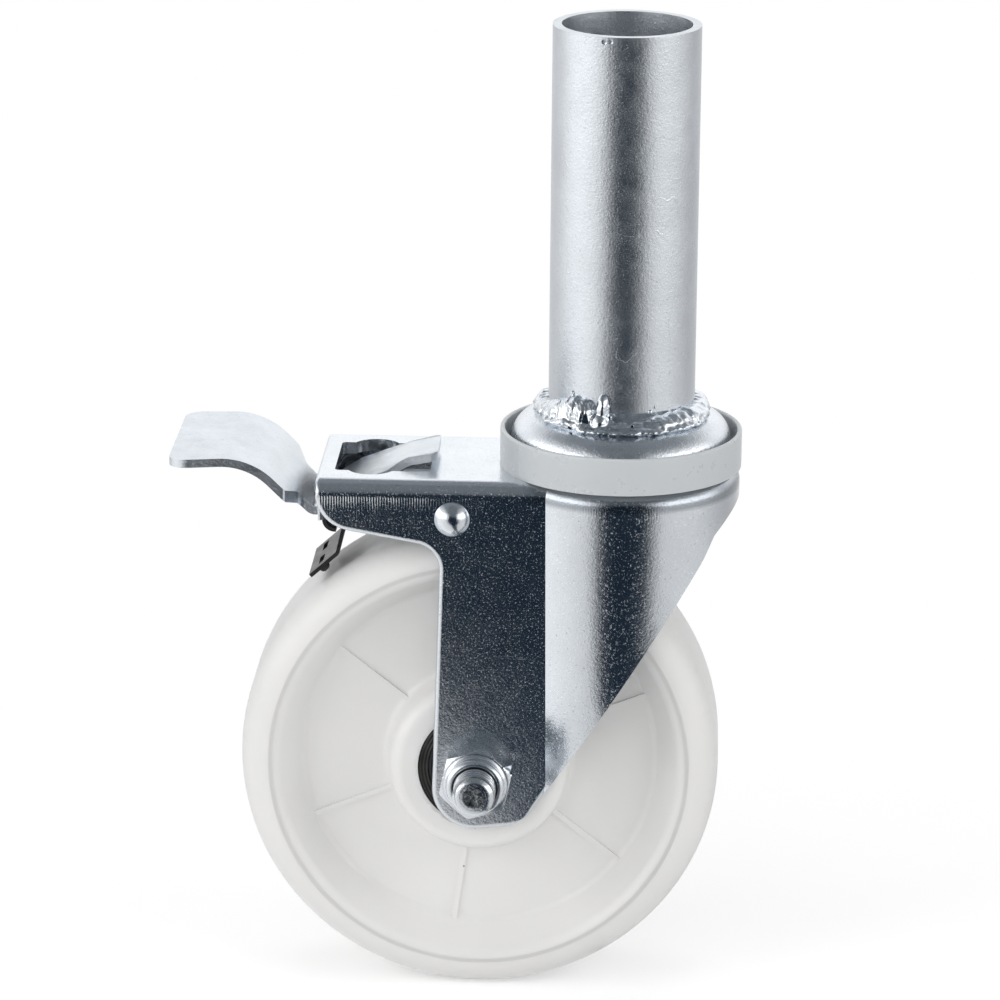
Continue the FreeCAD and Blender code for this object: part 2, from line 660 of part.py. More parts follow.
def hub_spacer(side):
    """Collar between an inner ring and its cheek."""
    return on_axle(tube(SPACER_R, BEARING_BORE / 2, 0, FORK_INNER_HALF - BEARING_FACE_Y), side)


def axle_bolt():
    """Hexagon bolt put in from the far side, its thread standing out of the near nut."""
    tip = -BOLT_TIP_Y
    head_low = -FORK_HALF_WIDTH - BOLT_HEAD_HEIGHT
    shank = turned([(0, head_low + 1, 0), (BOLT_R, head_low + 1, 0), (BOLT_R, tip - BOLT_CHAMFER, 0),
                    (BOLT_R - BOLT_CHAMFER, tip, 0), (BOLT_DIMPLE_R, tip, 0),
                    (0, tip - BOLT_DIMPLE_DEPTH, 0)])
    head = hexagon(BOLT_HEAD_AF, FORK_HALF_WIDTH, FORK_HALF_WIDTH + BOLT_HEAD_HEIGHT, HEX_CHAMFER)
    head = head.mirror(Vector(0, 0, 0), Vector(0, 0, 1))
    return lengthwise(shank.fuse(head), "-y", (AXLE_X, 0, AXLE_Z))


def axle_nut():
    """Self-locking nut with its round collar, on the near cheek."""
    low = FORK_HALF_WIDTH
    nut = hexagon(NUT_AF, low, low + NUT_HEX_HEIGHT, NUT_CHAMFER)
    collar = turned([(0, low + NUT_HEX_HEIGHT - 1, 0), (NUT_COLLAR_R, low + NUT_HEX_HEIGHT - 1, 0),
                     (NUT_COLLAR_R, low + NUT_HEIGHT, NUT_COLLAR_ROUND), (0, low + NUT_HEIGHT, 0)])
    nut = nut.fuse(collar).cut(cylinder(BOLT_R + SAME_BODY_FIT, 0, FAR))
    pocket_high = low + NUT_HEIGHT - NUT_LIP
    nut = nut.cut(cylinder(BOLT_R + NUT_INSERT_WALL, pocket_high - NUT_INSERT_WIDTH, pocket_high))
    nut = nut.cut(cylinder(BOLT_R + NUT_LIP_GAP, pocket_high, low + NUT_HEIGHT + 1))
    return lengthwise(nut, "-y", (AXLE_X, 0, AXLE_Z))


def nut_insert():
    """Nylon ring held in the nut's collar."""
    high = FORK_HALF_WIDTH + NUT_HEIGHT - NUT_LIP
    return tube(BOLT_R + NUT_INSERT_WALL - SAME_BODY_FIT, BOLT_R + SAME_BODY_FIT, high - NUT_INSERT_WIDTH,
                high, "-y", (AXLE_X, 0, AXLE_Z))


def lever_plan():
    """Plan of the lever: wide pedal, narrow neck, shoulders for the ears, ramp and waisted tab."""
    half = [(PEDAL_END_X, PEDAL_HALF, PEDAL_CORNER_R), (PEDAL_REAR_X, PEDAL_REAR_HALF, PEDAL_REAR_R),
            (NECK_X, NECK_HALF, NECK_R), (NECK_ROOT_X, NECK_HALF, NECK_ROOT_R),
            (NECK_ROOT_X, EAR_FACE_Y, NECK_ROOT_R), (RAMP_X, EAR_FACE_Y, 0), (RAMP_X, TAB_HALF, NECK_ROOT_R),
            (CREASE_X, TAB_HALF, TAB_WAIST_R / 2), (TAB_WAIST_X, TAB_WAIST_HALF, TAB_WAIST_R),
            (TAB_END_X, TAB_END_HALF, TAB_CORNER_R)]
    outline = half + [(x, -y, r) for x, y, r in reversed(half)]
    return cut_sheet(outline, BLADE_END_Z, TUBE_R)


def ramp_line(x):
    """Height of the ramp's top face at x, between the trough and the ramp's knee."""
    return TROUGH_Z + (RAMP_KNEE_Z - TROUGH_Z) * (x - TROUGH_X) / (RAMP_KNEE_X - TROUGH_X)


def brake_lever():
    """One bent sheet: pedal, neck, trough, ramp and release tab, with two pivot ears and two pin lugs."""
    sheet = strip([(PEDAL_END_X, PEDAL_END_Z, 0), (PEDAL_KNEE_X, PEDAL_KNEE_Z, PEDAL_KNEE_R),
                   (TROUGH_X, TROUGH_Z, TROUGH_R), (RAMP_KNEE_X, RAMP_KNEE_Z, RAMP_KNEE_R),
                   (CREASE_X, CREASE_Z, CREASE_R), (TAB_KNEE_X, TAB_KNEE_Z, TAB_KNEE_R),
                   (TAB_END_X, TAB_END_Z, 0)], LEVER_SHEET, PEDAL_HALF + 1)
    lever = sheet.common(lever_plan())
    for side in (-1, 1):
        y0 = min(side * EAR_FACE_Y, side * (EAR_FACE_Y - EAR_SHEET))
        ear = cylinder(EAR_R, y0, y0 + EAR_SHEET, "y", (PIVOT_X, 0, PIVOT_Z))
        stalk = pressed([(NECK_ROOT_X + NECK_ROOT_R, ramp_line(NECK_ROOT_X) - LEVER_SHEET, 0),
                         (NECK_ROOT_X + NECK_ROOT_R, ramp_line(NECK_ROOT_X + NECK_ROOT_R), 0),
                         (PIVOT_X, PIVOT_Z + EAR_R, 0), (PIVOT_X, PIVOT_Z - EAR_R, 0)],
                        y0, y0 + EAR_SHEET)
        y1 = min(side * LUG_INNER, side * (LUG_INNER + LUG_SHEET))
        lug = cylinder(EYE_R, y1, y1 + LUG_SHEET, "y", (EYE_X, 0, EYE_Z))
        front, rear = EYE_X - EYE_R, EYE_X + EYE_R
        root = pressed([(front, EYE_Z, 0), (front, ramp_line(front) - LEVER_SHEET, 0),
                        (rear, ramp_line(rear) - LEVER_SHEET, 0), (rear, EYE_Z, 0)], y1, y1 + LUG_SHEET)
        lever = lever.fuse([ear, stalk, lug, root])
        lever = lever.cut(cylinder(PIVOT_R + RUNNING_FIT, y0, y0 + EAR_SHEET, "y", (PIVOT_X, 0, PIVOT_Z)))
    lever = lever.cut(cylinder(PIN_R + SAME_BODY_FIT, -BLADE_HALF, BLADE_HALF, "y", (EYE_X, 0, EYE_Z)))
    return lever.removeSplitter()


def pivot_pins():
    """Two short pins, each seated blind in a cheek and passing through one ear of the lever."""
    inner = EAR_FACE_Y - EAR_SHEET - EAR_PIN_GAP
    outer = FORK_INNER_HALF + PIVOT_SEAT
    return Part.makeCompound([cylinder(PIVOT_R, low, high, "y", (PIVOT_X, 0, PIVOT_Z))
                              for low, high in ((inner, outer), (-outer, -inner))])


def blade_pin():
    """Cross pin of the blade, in the lever's two lugs."""
    half = BLADE_HALF - BLADE_PIN_INSET
    return cylinder(PIN_R, -half, half, "y", (EYE_X, 0, EYE_Z))


def brake_blade():
    """Spring-steel blade: rolled eye, straight drop, and a foot that leans over the tread."""
    bore = EYE_R - BLADE_SHEET
    eye = tube(EYE_R, bore, -BLADE_HALF, BLADE_HALF, "y", (EYE_X, 0, EYE_Z))
    reach = EYE_R + 1
    mouth = pressed([(EYE_X, EYE_Z, 0), (EYE_X + EYE_MOUTH_SHIFT, EYE_Z - reach, 0),
                     (EYE_X + reach, EYE_Z - reach, 0), (EYE_X + reach, EYE_Z - EYE_MOUTH, 0)],
                    -BLADE_HALF, BLADE_HALF)
    drop = strip([(BLADE_END_X, BLADE_END_Z, 0), (BLADE_BEND_X, BLADE_BEND_Z, BLADE_BEND_R),
                  (EYE_X + bore, EYE_Z, 0)], BLADE_SHEET, BLADE_HALF)
    blade = eye.cut(mouth).fuse(drop)
    blade = blade.cut(box(EYE_X - reach, EYE_X + reach, -BLADE_NOTCH_HALF, BLADE_NOTCH_HALF, BLADE_NOTCH_Z, 0))
    blade = blade.cut(cylinder(bore, -BLADE_HALF, BLADE_HALF, "y", (EYE_X, 0, EYE_Z)))
    middle, run, _ = blade_foot()
    for y in (-BLADE_SLOT_Y, BLADE_SLOT_Y):
        slot = box(-BLADE_SLOT_WIDTH / 2, BLADE_SLOT_WIDTH / 2, -BLADE_SLOT_LENGTH / 2, BLADE_SLOT_LENGTH / 2,
                   -reach, reach)
        slot.rotate(Vector(0, 0, 0), Vector(0, 1, 0), -math.degrees(math.atan2(run.z, run.x)))
        slot.translate(Vector(middle.x, y, middle.z))
        blade = blade.cut(slot)
    return blade.removeSplitter()


def blade_foot():
    """Place of the pad on the foot's upper face, the foot's direction and its downward normal."""
    start = Vector(BLADE_END_X, 0, BLADE_END_Z)
    foot = Vector(BLADE_BEND_X, 0, BLADE_BEND_Z) - start
    middle = start + foot * BRAKE_PAD_PLACE
    run = foot.normalize()
    return middle, run, Vector(run.z, 0, -run.x)


def brake_pad():
    """Two round rubber studs under the blade's foot that bear on the tread."""
    middle, _, down = blade_foot()
    studs = []
    for y in (-BRAKE_PAD_Y, BRAKE_PAD_Y):
        base = middle + down * BLADE_SHEET + Vector(0, y, 0)
        stud = Part.makeCylinder(BRAKE_PAD_R, BRAKE_PAD_HEIGHT, base, down)
        tip = [e for e in stud.Edges if (e.CenterOfMass - base).dot(down) > BRAKE_PAD_ROUND]
        studs.append(stud.makeFillet(BRAKE_PAD_ROUND, tip))
    return Part.makeCompound(studs)


def lock_bar():
    """Bent bar that the blade pushes along the nose, its toothed end facing the lock ring."""
    left = EYE_X + EYE_R + PART_GAP
    top = RIVET_Z + RIVET_R + PART_GAP + BAR_SHEET
    bar = strip([(left, BAR_LOW_Z + BAR_SHEET, 0), (BAR_RISE_X0, BAR_LOW_Z + BAR_SHEET, BAR_BEND_R),
                 (BAR_RISE_X1, top, BAR_BEND_R), (LOCK_TRAVEL - LOCK_RING_R, top, 0)], BAR_SHEET, BAR_HALF)
    teeth = toothed_disc(LOCK_RING_R + LOCK_TOOTH_CLEAR, LOCK_TRAVEL - LOCK_TOOTH_CLEAR, BAR_GAP_SHARE,
                         RIVET_Z, top + 1)
    teeth.translate(Vector(-LOCK_TRAVEL, 0, 0))
    return bar.cut(teeth)


PIECES = {
    "stem_tube": stem_tube,
    "weld_bead": weld_bead,
    "head_cap": head_cap,
    "kingpin": kingpin,
    "kingpin_nut": kingpin_nut,
    "lower_race": lower_race,
    "upper_balls": lambda: ball_ring(UPPER_BALL_R, UPPER_BALL_PITCH_R, UPPER_BALL_COUNT, UPPER_BALL_Z),
    "lower_balls": lambda: ball_ring(LOWER_BALL_R, LOWER_BALL_PITCH_R, LOWER_BALL_COUNT, LOWER_BALL_Z),
    "fork": fork,
    "dust_ring": dust_ring,
    "cross_rivet": cross_rivet,
    "wheel": wheel,
    "near_bearing_outer_ring": lambda: bearing_outer_ring(-1),
    "near_bearing_inner_ring": lambda: bearing_inner_ring(-1),
    "near_bearing_balls": lambda: bearing_balls(-1),
    "near_bearing_seals": lambda: bearing_seals(-1),
    "far_bearing_outer_ring": lambda: bearing_outer_ring(1),
    "far_bearing_inner_ring": lambda: bearing_inner_ring(1),
    "far_bearing_balls": lambda: bearing_balls(1),
    "far_bearing_seals": lambda: bearing_seals(1),
    "axle_sleeve": axle_sleeve,
    "distance_tube": distance_tube,
    "near_hub_spacer": lambda: hub_spacer(-1),
    "far_hub_spacer": lambda: hub_spacer(1),
    "axle_bolt": axle_bolt,
    "axle_nut": axle_nut,
    "nut_insert": nut_insert,
    "pivot_pins": pivot_pins,
    "brake_lever": brake_lever,
    "brake_blade": brake_blade,
    "brake_pad": brake_pad,
    "blade_pin": blade_pin,
    "lock_bar": lock_bar,
}


def main():
    os.makedirs("parts", exist_ok=True)
    for name, make in PIECES.items():
        shape = make()
        if not shape.isValid() or not shape.Solids:
            raise ValueError(name + " is not a valid solid")
        shape.exportStep("parts/" + name + ".step")
        print(name, len(shape.Solids), round(shape.Volume / 1000, 2), "cm3")


main()
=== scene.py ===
import math
import random

import bpy
from bpy.props import FloatProperty, FloatVectorProperty, IntProperty, PointerProperty
from mathutils import Matrix, Vector


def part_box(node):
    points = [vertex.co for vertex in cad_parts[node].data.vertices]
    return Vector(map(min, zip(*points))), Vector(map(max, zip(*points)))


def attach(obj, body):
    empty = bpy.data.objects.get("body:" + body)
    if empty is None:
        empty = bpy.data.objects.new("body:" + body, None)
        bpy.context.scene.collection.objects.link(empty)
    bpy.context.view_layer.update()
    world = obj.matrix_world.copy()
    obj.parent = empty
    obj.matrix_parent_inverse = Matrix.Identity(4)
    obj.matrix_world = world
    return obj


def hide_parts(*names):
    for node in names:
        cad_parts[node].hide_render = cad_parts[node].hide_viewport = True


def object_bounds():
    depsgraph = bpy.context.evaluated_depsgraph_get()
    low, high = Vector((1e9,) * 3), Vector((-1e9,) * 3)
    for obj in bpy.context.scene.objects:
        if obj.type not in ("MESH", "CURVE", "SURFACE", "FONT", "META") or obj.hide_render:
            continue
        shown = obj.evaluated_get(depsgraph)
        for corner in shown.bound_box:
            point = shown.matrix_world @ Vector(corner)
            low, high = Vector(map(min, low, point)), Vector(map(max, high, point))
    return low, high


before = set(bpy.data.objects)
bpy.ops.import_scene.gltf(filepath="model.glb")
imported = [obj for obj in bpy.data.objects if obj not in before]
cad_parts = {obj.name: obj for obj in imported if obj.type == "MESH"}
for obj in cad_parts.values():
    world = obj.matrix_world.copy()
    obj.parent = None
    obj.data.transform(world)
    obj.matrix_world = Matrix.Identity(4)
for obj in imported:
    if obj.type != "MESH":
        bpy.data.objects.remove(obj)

bl_info = {
    "name": "Scaffold Castor",
    "version": (1, 0, 0),
    "blender": (4, 5, 0),
    "location": "View3D > Sidebar > Castor",
    "description": "Finishes and small details of a scaffold castor",
    "category": "Object",
}

CAD_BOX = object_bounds()
FLOOR_Z = CAD_BOX[0][2]
TUBE_LOW, TUBE_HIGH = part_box("stem_tube")
TUBE_R = (TUBE_HIGH[0] - TUBE_LOW[0]) / 2
HUB_LOW, HUB_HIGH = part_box("distance_tube")
AXLE = ((HUB_LOW[0] + HUB_HIGH[0]) / 2, 0, (HUB_LOW[2] + HUB_HIGH[2]) / 2)
BOLT_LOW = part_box("axle_bolt")[0]

# Surface marks: lengths in metres, grains per metre, turns in radians
RIM_DENTS = ((-0.0069, -0.0231, 0.1284), (-0.0049, -0.0236, 0.1286))
DENT_R = 0.0009
DENT_DEPTH = 0.0003
HAIR_HEIGHT = 0.00003
CREASE_SPACING = 0.00087
CREASE_HEIGHT = 0.000045
SCRATCH_TURNS = (0.5, -0.9)
SCRATCH_STRETCH = (60, 60, 1100)
SCRATCH_HEIGHT = 0.00002
FINE_GRAIN = 1250.0
COARSE_GRAIN = 420.0
FLECK_GRAIN = 1500.0
FLECK_STEEPNESS = 3200
SEAL_RING_SPACING = 0.0011
MOULD_LINES = (-1.035, -0.955, 2.1)

# Weld, in metres
WELD_R = 0.027
RIPPLE_SPACING = 0.0011
LINE_SPACING = 0.0012
RIPPLE_HEIGHT = 0.000018
ROOT_OUT = 0.0016
ROOT_R = 0.0030
ROOT_Z = 0.0004
WELD_SKIN_SCALE = 0.0034
WELD_SKIN_HEIGHT = 0.0009
WELD_FOOT_Z = -0.0006
# Angle in degrees, distance from the stem's axis, height and radius
SPATTER = ((-7.2, 0.0252, 0.0050, 0.0008), (-6.0, 0.0256, 0.0032, 0.0010), (-8.6, 0.0250, 0.0084, 0.0007),
           (2.0, 0.0262, 0.0030, 0.0009), (6.5, 0.0262, 0.0026, 0.0007), (-40.0, 0.0243, 0.0112, 0.0007),
           (24.0, 0.0240, 0.0062, 0.0009), (27.5, 0.0241, 0.0078, 0.0007))
# Place and radius
PITS = ((-0.0290, 0.0060, 0.0014, 0.0007), (-0.0280, 0.0002, 0.0012, 0.0009),
        (-0.0270, -0.0062, 0.0014, 0.0008), (-0.0256, -0.0108, 0.0012, 0.0009),
        (-0.0232, -0.0158, 0.0014, 0.0006), (-0.0162, -0.0246, 0.0010, 0.0008),
        (-0.0135, -0.0262, 0.0012, 0.0008), (-0.0110, -0.0276, 0.0010, 0.0007),
        (-0.0088, -0.0284, 0.0012, 0.0007), (0.0286, 0.0040, 0.0014, 0.0008),
        (0.0290, -0.0016, 0.0012, 0.0008), (0.0272, -0.0088, 0.0012, 0.0006),
        (0.0040, -0.0270, 0.0024, 0.0006), (0.0120, -0.0300, 0.0010, 0.0006))

# Bolt, nut and burr: lengths in metres, turns in radians, the groove in shares of the thread's depth
BOLT_R = 0.007
THREAD_TURNS = 8
THREAD_FACETS = 48
GROOVE_WIDTH_SHARE = 1.3
GROOVE_OUT_SHARE = 0.15
GROOVE_REACH_SHARE = 0.7
SAME_POINT = 1e-6
NUT_TURN = math.radians(-18)
EDGE_ANGLE = math.radians(32)
BURR_Y = -0.0291
BURR_SIZE = (0.0004, 0.0008)
BURR_VOXEL = 0.00012
# Place along and up the fork, length and turn
BURRS = ((-0.0573, -0.0474, 0.0016, 0.5), (-0.0570, -0.0484, 0.0010, 0.2))

# Studio: places in metres, turns in radians, lens and sensor in millimetres, colours with white at 1
CAMERA_PLACE = (0.02667, -1.47289, 0.41560)
CAMERA_TARGET = (-0.03996, 0, -0.03151)
CAMERA_ROLL = math.radians(0.46)
CAMERA_LENS = 166.5
CAMERA_SENSOR = 36
CAMERA_REACH = 30
LAMP_TARGET = (-0.04, 0, -0.03)
# Place, width and height, and watts
LAMPS = {
    "left_softbox": ((-1.5, -0.9, 0.7), (1.2, 1.2), 9.5),
    "right_softbox": ((1.5, -0.8, 0.7), (1.2, 1.2), 8),
    "front_softbox": ((-0.4, -1.9, 0.5), (1.4, 1.0), 6.5),
    "top_softbox": ((-0.1, 0.3, 1.8), (1.4, 1.4), 6.5),
}
FLOOR_SIZE = 12
FLOOR_GLOW = 0.34
FLOOR_MIDDLE = (-0.045, 0.0, 0.0)
SOFT_LIGHT = (0.43, 0.43, 0.43)
BEHIND_LIGHT = (1.22, 1.23, 1.24)
SOFTBOX_LIGHT = (1.5, 1.5, 1.5)
OVERHEAD_LIGHT = (0.24, 0.26, 0.28)
# Upward share of the direction, then half the dark gap's width in radians
GAP_WIDTHS = ((-0.85, 0.22), (-0.62, 0.25), (-0.42, 0.48), (0.02, 0.55), (0.45, 0.58), (0.9, 1.0))
GAP_COLOURS = ((-0.96, (0.09, 0.11, 0.13)), (-0.75, (0.026, 0.042, 0.062)), (-0.45, (0.010, 0.021, 0.036)),
               (0.12, (0.010, 0.019, 0.031)), (0.34, (0.13, 0.15, 0.165)), (0.80, (0.17, 0.19, 0.205)))
# Share of a full turn, then brightness
SIDE_TONES = ((0.0, 1.0), (0.10, 0.74), (0.17, 0.76), (0.25, 1.08), (0.31, 1.08), (0.40, 0.84), (0.47, 0.68),
              (0.54, 0.66), (0.62, 0.76), (0.70, 0.80), (0.83, 0.52), (0.90, 0.62), (1.0, 1.0))


class CastorSizes(bpy.types.PropertyGroup):
    """Sizes of the details that the solids leave plain"""
    weld_voxel: FloatProperty(name="Weld fineness", description="Size of the facets of the weld run",
                              default=0.00032, unit="LENGTH")
    weld_seed: IntProperty(name="Weld seed", description="Start value of the weld's lumps", default=3)
    thread_pitch: FloatProperty(name="Thread pitch", description="Pitch of the cross bolt's thread",
                                default=0.002, unit="LENGTH")
    thread_depth: FloatProperty(name="Thread depth", description="Depth of the cross bolt's thread",
                                default=0.0009, unit="LENGTH")


class CastorFinish(bpy.types.PropertyGroup):
    """Colours and finishes of the castor"""
    zinc_colour: FloatVectorProperty(name="Zinc", description="Colour of the zinc plating", size=3,
                                     default=(0.71, 0.745, 0.785), subtype="COLOR", min=0, max=1)
    tube_roughness: FloatProperty(name="Tube roughness", description="Roughness of the stem tube's plating",
                                  default=0.34, min=0, max=1, subtype="FACTOR")
    sheet_roughness: FloatProperty(name="Sheet roughness",
                                   description="Roughness of the pressed sheet's plating",
                                   default=0.18, min=0, max=1, subtype="FACTOR")
    nylon_colour: FloatVectorProperty(name="Wheel nylon", description="Colour of the moulded wheel", size=3,
                                      default=(0.86, 0.855, 0.845), subtype="COLOR", min=0, max=1)
    ring_colour: FloatVectorProperty(name="Ring nylon", description="Colour of the dust ring", size=3,
                                     default=(0.68, 0.715, 0.74), subtype="COLOR", min=0, max=1)
    black_colour: FloatVectorProperty(name="Black", description="Colour of seals and blackened steel", size=3,
                                      default=(0.012, 0.013, 0.015), subtype="COLOR", min=0, max=1)


def settings(context):
    """The sizes and the finishes that the panel shows."""
    return context.scene.castor_sizes, context.scene.castor_finish


class Nodes:
    """A material's node tree, built one node at a time."""

    def __init__(self, owner, coords="Object"):
        owner.use_nodes = True
        self.owner = owner
        self.tree = owner.node_tree
        self.shader = self.tree.nodes.get("Principled BSDF")
        self.coords = self.tree.nodes.new("ShaderNodeTexCoord").outputs[coords]

    def node(self, kind, **values):
        made = self.tree.nodes.new(kind)
        for key, value in values.items():
            setattr(made, key, value)
        return made

    def link(self, source, target):
        self.tree.links.new(source, target)

    def set(self, **values):
        for key, value in values.items():
            self.shader.inputs[key.replace("_", " ")].default_value = value

    def stretched(self, scale, turn=(0, 0, 0)):
        """Object coordinates, turned and then stretched by a scale along each axis."""
        mapping = self.node("ShaderNodeMapping")
        mapping.inputs["Rotation"].default_value = turn
        mapping.inputs["Scale"].default_value = scale
        self.link(self.coords, mapping.inputs["Vector"])
        return mapping.outputs["Vector"]

    def noise(self, scale, detail=3.0, roughness=0.6, coords=None, distortion=0.0):
        made = self.node("ShaderNodeTexNoise")
        made.inputs["Scale"].default_value = scale
        made.inputs["Detail"].default_value = detail
        made.inputs["Roughness"].default_value = roughness
        made.inputs["Distortion"].default_value = distortion
        self.link(coords or self.coords, made.inputs["Vector"])
        return made.outputs["Fac"]

    def speckle(self, scale):
        """Distance to the nearest of points strewn about 1 / scale apart."""
        made = self.node("ShaderNodeTexVoronoi")
        made.inputs["Scale"].default_value = scale
        self.link(self.coords, made.inputs["Vector"])
        return made.outputs["Distance"]

    def ramp(self, value, *stops):
        """Colour ramp through (position, colour or grey) stops."""
        made = self.node("ShaderNodeValToRGB")
        elements = made.color_ramp.elements
        while len(elements) < len(stops):
            elements.new(0.5)
        for element, (position, colour) in zip(elements, stops):
            element.position = position
            rgb = colour if hasattr(colour, "__len__") else (colour,) * 3
            element.color = (*rgb[:3], 1)
        self.link(value, made.inputs["Fac"])
        return made.outputs["Color"]

    def range(self, value, low, high, to_low=0.0, to_high=1.0):
        made = self.node("ShaderNodeMapRange")
        made.inputs["From Min"].default_value = low
        made.inputs["From Max"].default_value = high
        made.inputs["To Min"].default_value = to_low
        made.inputs["To Max"].default_value = to_high
        self.link(value, made.inputs["Value"])
        return made.outputs["Result"]

    def math(self, kind, a, b):
        made = self.node("ShaderNodeMath", operation=kind)
        for socket, value in zip(made.inputs, (a, b)):
            if isinstance(value, (int, float)):
                socket.default_value = value
            else:
                self.link(value, socket)
        return made.outputs["Value"]

    def times(self, a, b):
        return self.math("MULTIPLY", a, b)

    def plus(self, a, b):
        return self.math("ADD", a, b)

    def minus(self, a, b):
        return self.math("SUBTRACT", a, b)

    def absolute(self, value):
        return self.math("ABSOLUTE", value, 0)

    def wave(self, along, spacing):
        """Sine wave along a length, with one crest to each spacing."""
        return self.math("SINE", self.times(along, 2 * math.pi / spacing), 0)

    def mix(self, factor, a, b, blend="MIX"):
        made = self.node("ShaderNodeMix", data_type="RGBA", blend_type=blend)
        for socket, value in (("Factor", factor), ("A", a), ("B", b)):
            if isinstance(value, bpy.types.NodeSocket):
                self.link(value, made.inputs[socket])
            elif isinstance(value, (int, float)):
                made.inputs[socket].default_value = value
            else:
                made.inputs[socket].default_value = (*value[:3], 1)
        return made.outputs["Result"]

    def split(self, vector=None):
        made = self.node("ShaderNodeSeparateXYZ")
        self.link(vector or self.coords, made.inputs["Vector"])
        return made.outputs["X"], made.outputs["Y"], made.outputs["Z"]

    def band(self, value, low, high, soft):
        """1 between low and high, fading over soft at each end."""
        up = self.range(value, low - soft, low)
        down = self.range(value, high, high + soft, 1.0, 0.0)
        return self.times(up, down)

    def bump(self, height, strength, distance, onto=None):
        made = self.node("ShaderNodeBump")
        made.inputs["Strength"].default_value = strength
        made.inputs["Distance"].default_value = distance
        self.link(height, made.inputs["Height"])
        if onto is not None:
            self.link(onto, made.inputs["Normal"])
        return made.outputs["Normal"]

    def grain(self, scale, slope, onto=None):
        """Uneven surface whose bumps are 1 / scale apart and tilt it by about the slope."""
        return self.bump(self.noise(scale, 2.0), 1.0, slope / (0.5 * scale), onto)

    def polar(self, centre=(0.0, 0.0, 0.0), axis="Z"):
        """Angle and distance about an axis through a centre. The angle is 0 to the front or straight down."""
        x, y, z = self.split()
        across = self.minus(x, centre[0])
        down = self.minus(centre[1], y) if axis == "Z" else self.minus(centre[2], z)
        angle = self.math("ARCTAN2", across, down)
        square = self.plus(self.times(across, across), self.times(down, down))
        return angle, self.math("SQRT", square, 0.0)

    def spot(self, place, radius):
        """1 at a place, fading to 0 at a radius."""
        away = self.node("ShaderNodeVectorMath", operation="DISTANCE")
        self.link(self.coords, away.inputs[0])
        away.inputs[1].default_value = place
        return self.range(away.outputs["Value"], radius * 0.4, radius, 1.0, 0.0)

    def finish(self, normal=None):
        if normal is not None:
            self.link(normal, self.shader.inputs["Normal"])
        return self.owner


def new_material(name):
    """Node tree of a new material."""
    return Nodes(bpy.data.materials.new(name))


def shaded(colour, share):
    """A colour made darker or paler."""
    return [min(1, c * share) for c in colour]


def zinc_plate(name, finish, rough, grain=0.05, flecks=0.16, tint=1.0, detail=None):
    """Bright zinc plating: fine uneven grain, flecks that catch the light and a cloudy roughness."""
    m = new_material(name)
    base = [c * tint for c in finish.zinc_colour]
    clouds = m.noise(55.0, 5.0, 0.65)
    colour = m.ramp(clouds, (0.3, shaded(base, 0.95)), (0.7, shaded(base, 1.04)))
    beside_pits = m.range(m.noise(1050.0, 3.0, 0.7), 0.30, 0.38)
    colour = m.mix(beside_pits, shaded(base, 0.74), colour)
    normal = m.grain(FINE_GRAIN, grain)
    normal = m.grain(COARSE_GRAIN, grain * 0.25, normal)
    fleck = m.range(m.noise(FLECK_GRAIN, 2.0, 0.8), 0.60, 0.82)
    normal = m.bump(fleck, 1.0, flecks / FLECK_STEEPNESS, normal)
    if detail is not None:
        colour, normal = detail(m, colour, normal)
    m.link(colour, m.shader.inputs["Base Color"])
    cloudy_rough = m.range(m.noise(130.0, 5.0, 0.65), 0.3, 0.7, rough * 0.85, rough * 1.2)
    m.link(cloudy_rough, m.shader.inputs["Roughness"])
    m.set(Metallic=1.0)
    return m.finish(normal)


def tube_marks(m, colour, normal):
    """Hair scratches and the two small dents beside the tube's rim, with painted shade in the dents."""
    dents = m.math("MAXIMUM", *[m.spot(place, DENT_R) for place in RIM_DENTS])
    normal = m.bump(dents, 1.0, -DENT_DEPTH, normal)
    # Painted shade: the dents are coloured dark
    colour = m.mix(m.times(dents, 0.7), colour, (0.16, 0.17, 0.19))
    hair = m.band(m.noise(26.0, 2.0, 0.5, distortion=1.6), 0.4985, 0.5015, 0.0015)
    patch = m.range(m.noise(70.0, 2.0), 0.5, 0.6)
    return colour, m.bump(m.times(hair, patch), 1.0, HAIR_HEIGHT, normal)


def stretch_marks(m, colour, normal):
    """Upright creases drawn under the bend of the fork's cheek, painted shade on the crown's bend under the
    dust ring and a few scratches.
    """
    x, y, z = m.split()
    wander = m.times(m.noise(160.0, 2.0), 0.0006)
    creases = m.wave(m.plus(x, wander), CREASE_SPACING)
    ragged_end = m.plus(-0.0315, m.times(m.noise(240.0, 3.0), 0.014))
    under_bend = m.range(z, -0.0226, -0.0221, 1.0, 0.0)
    above_end = m.range(m.minus(z, ragged_end), -0.004, 0.004)
    near_nose = m.range(x, -0.085, -0.038, 1.0, 0.18)
    on_cheek = m.range(m.absolute(y), 0.0275, 0.0285)
    where = m.times(m.times(under_bend, above_end), m.times(near_nose, on_cheek))
    normal = m.bump(m.times(creases, where), 1.0, CREASE_HEIGHT, normal)
    # Painted shade: a darker band along the crown's bend just under the dust ring
    crown = m.times(m.range(x, -0.032, -0.026), m.band(z, -0.0230, -0.0160, 0.0016))
    colour = m.mix(m.times(crown, 0.75), colour, (0.30, 0.33, 0.36))
    for turn in SCRATCH_TURNS:
        strands = m.noise(1.0, 2.0, 0.6, m.stretched(SCRATCH_STRETCH, (0, turn, 0)))
        normal = m.bump(m.range(strands, 0.74, 0.78), 1.0, SCRATCH_HEIGHT, normal)
    return colour, normal


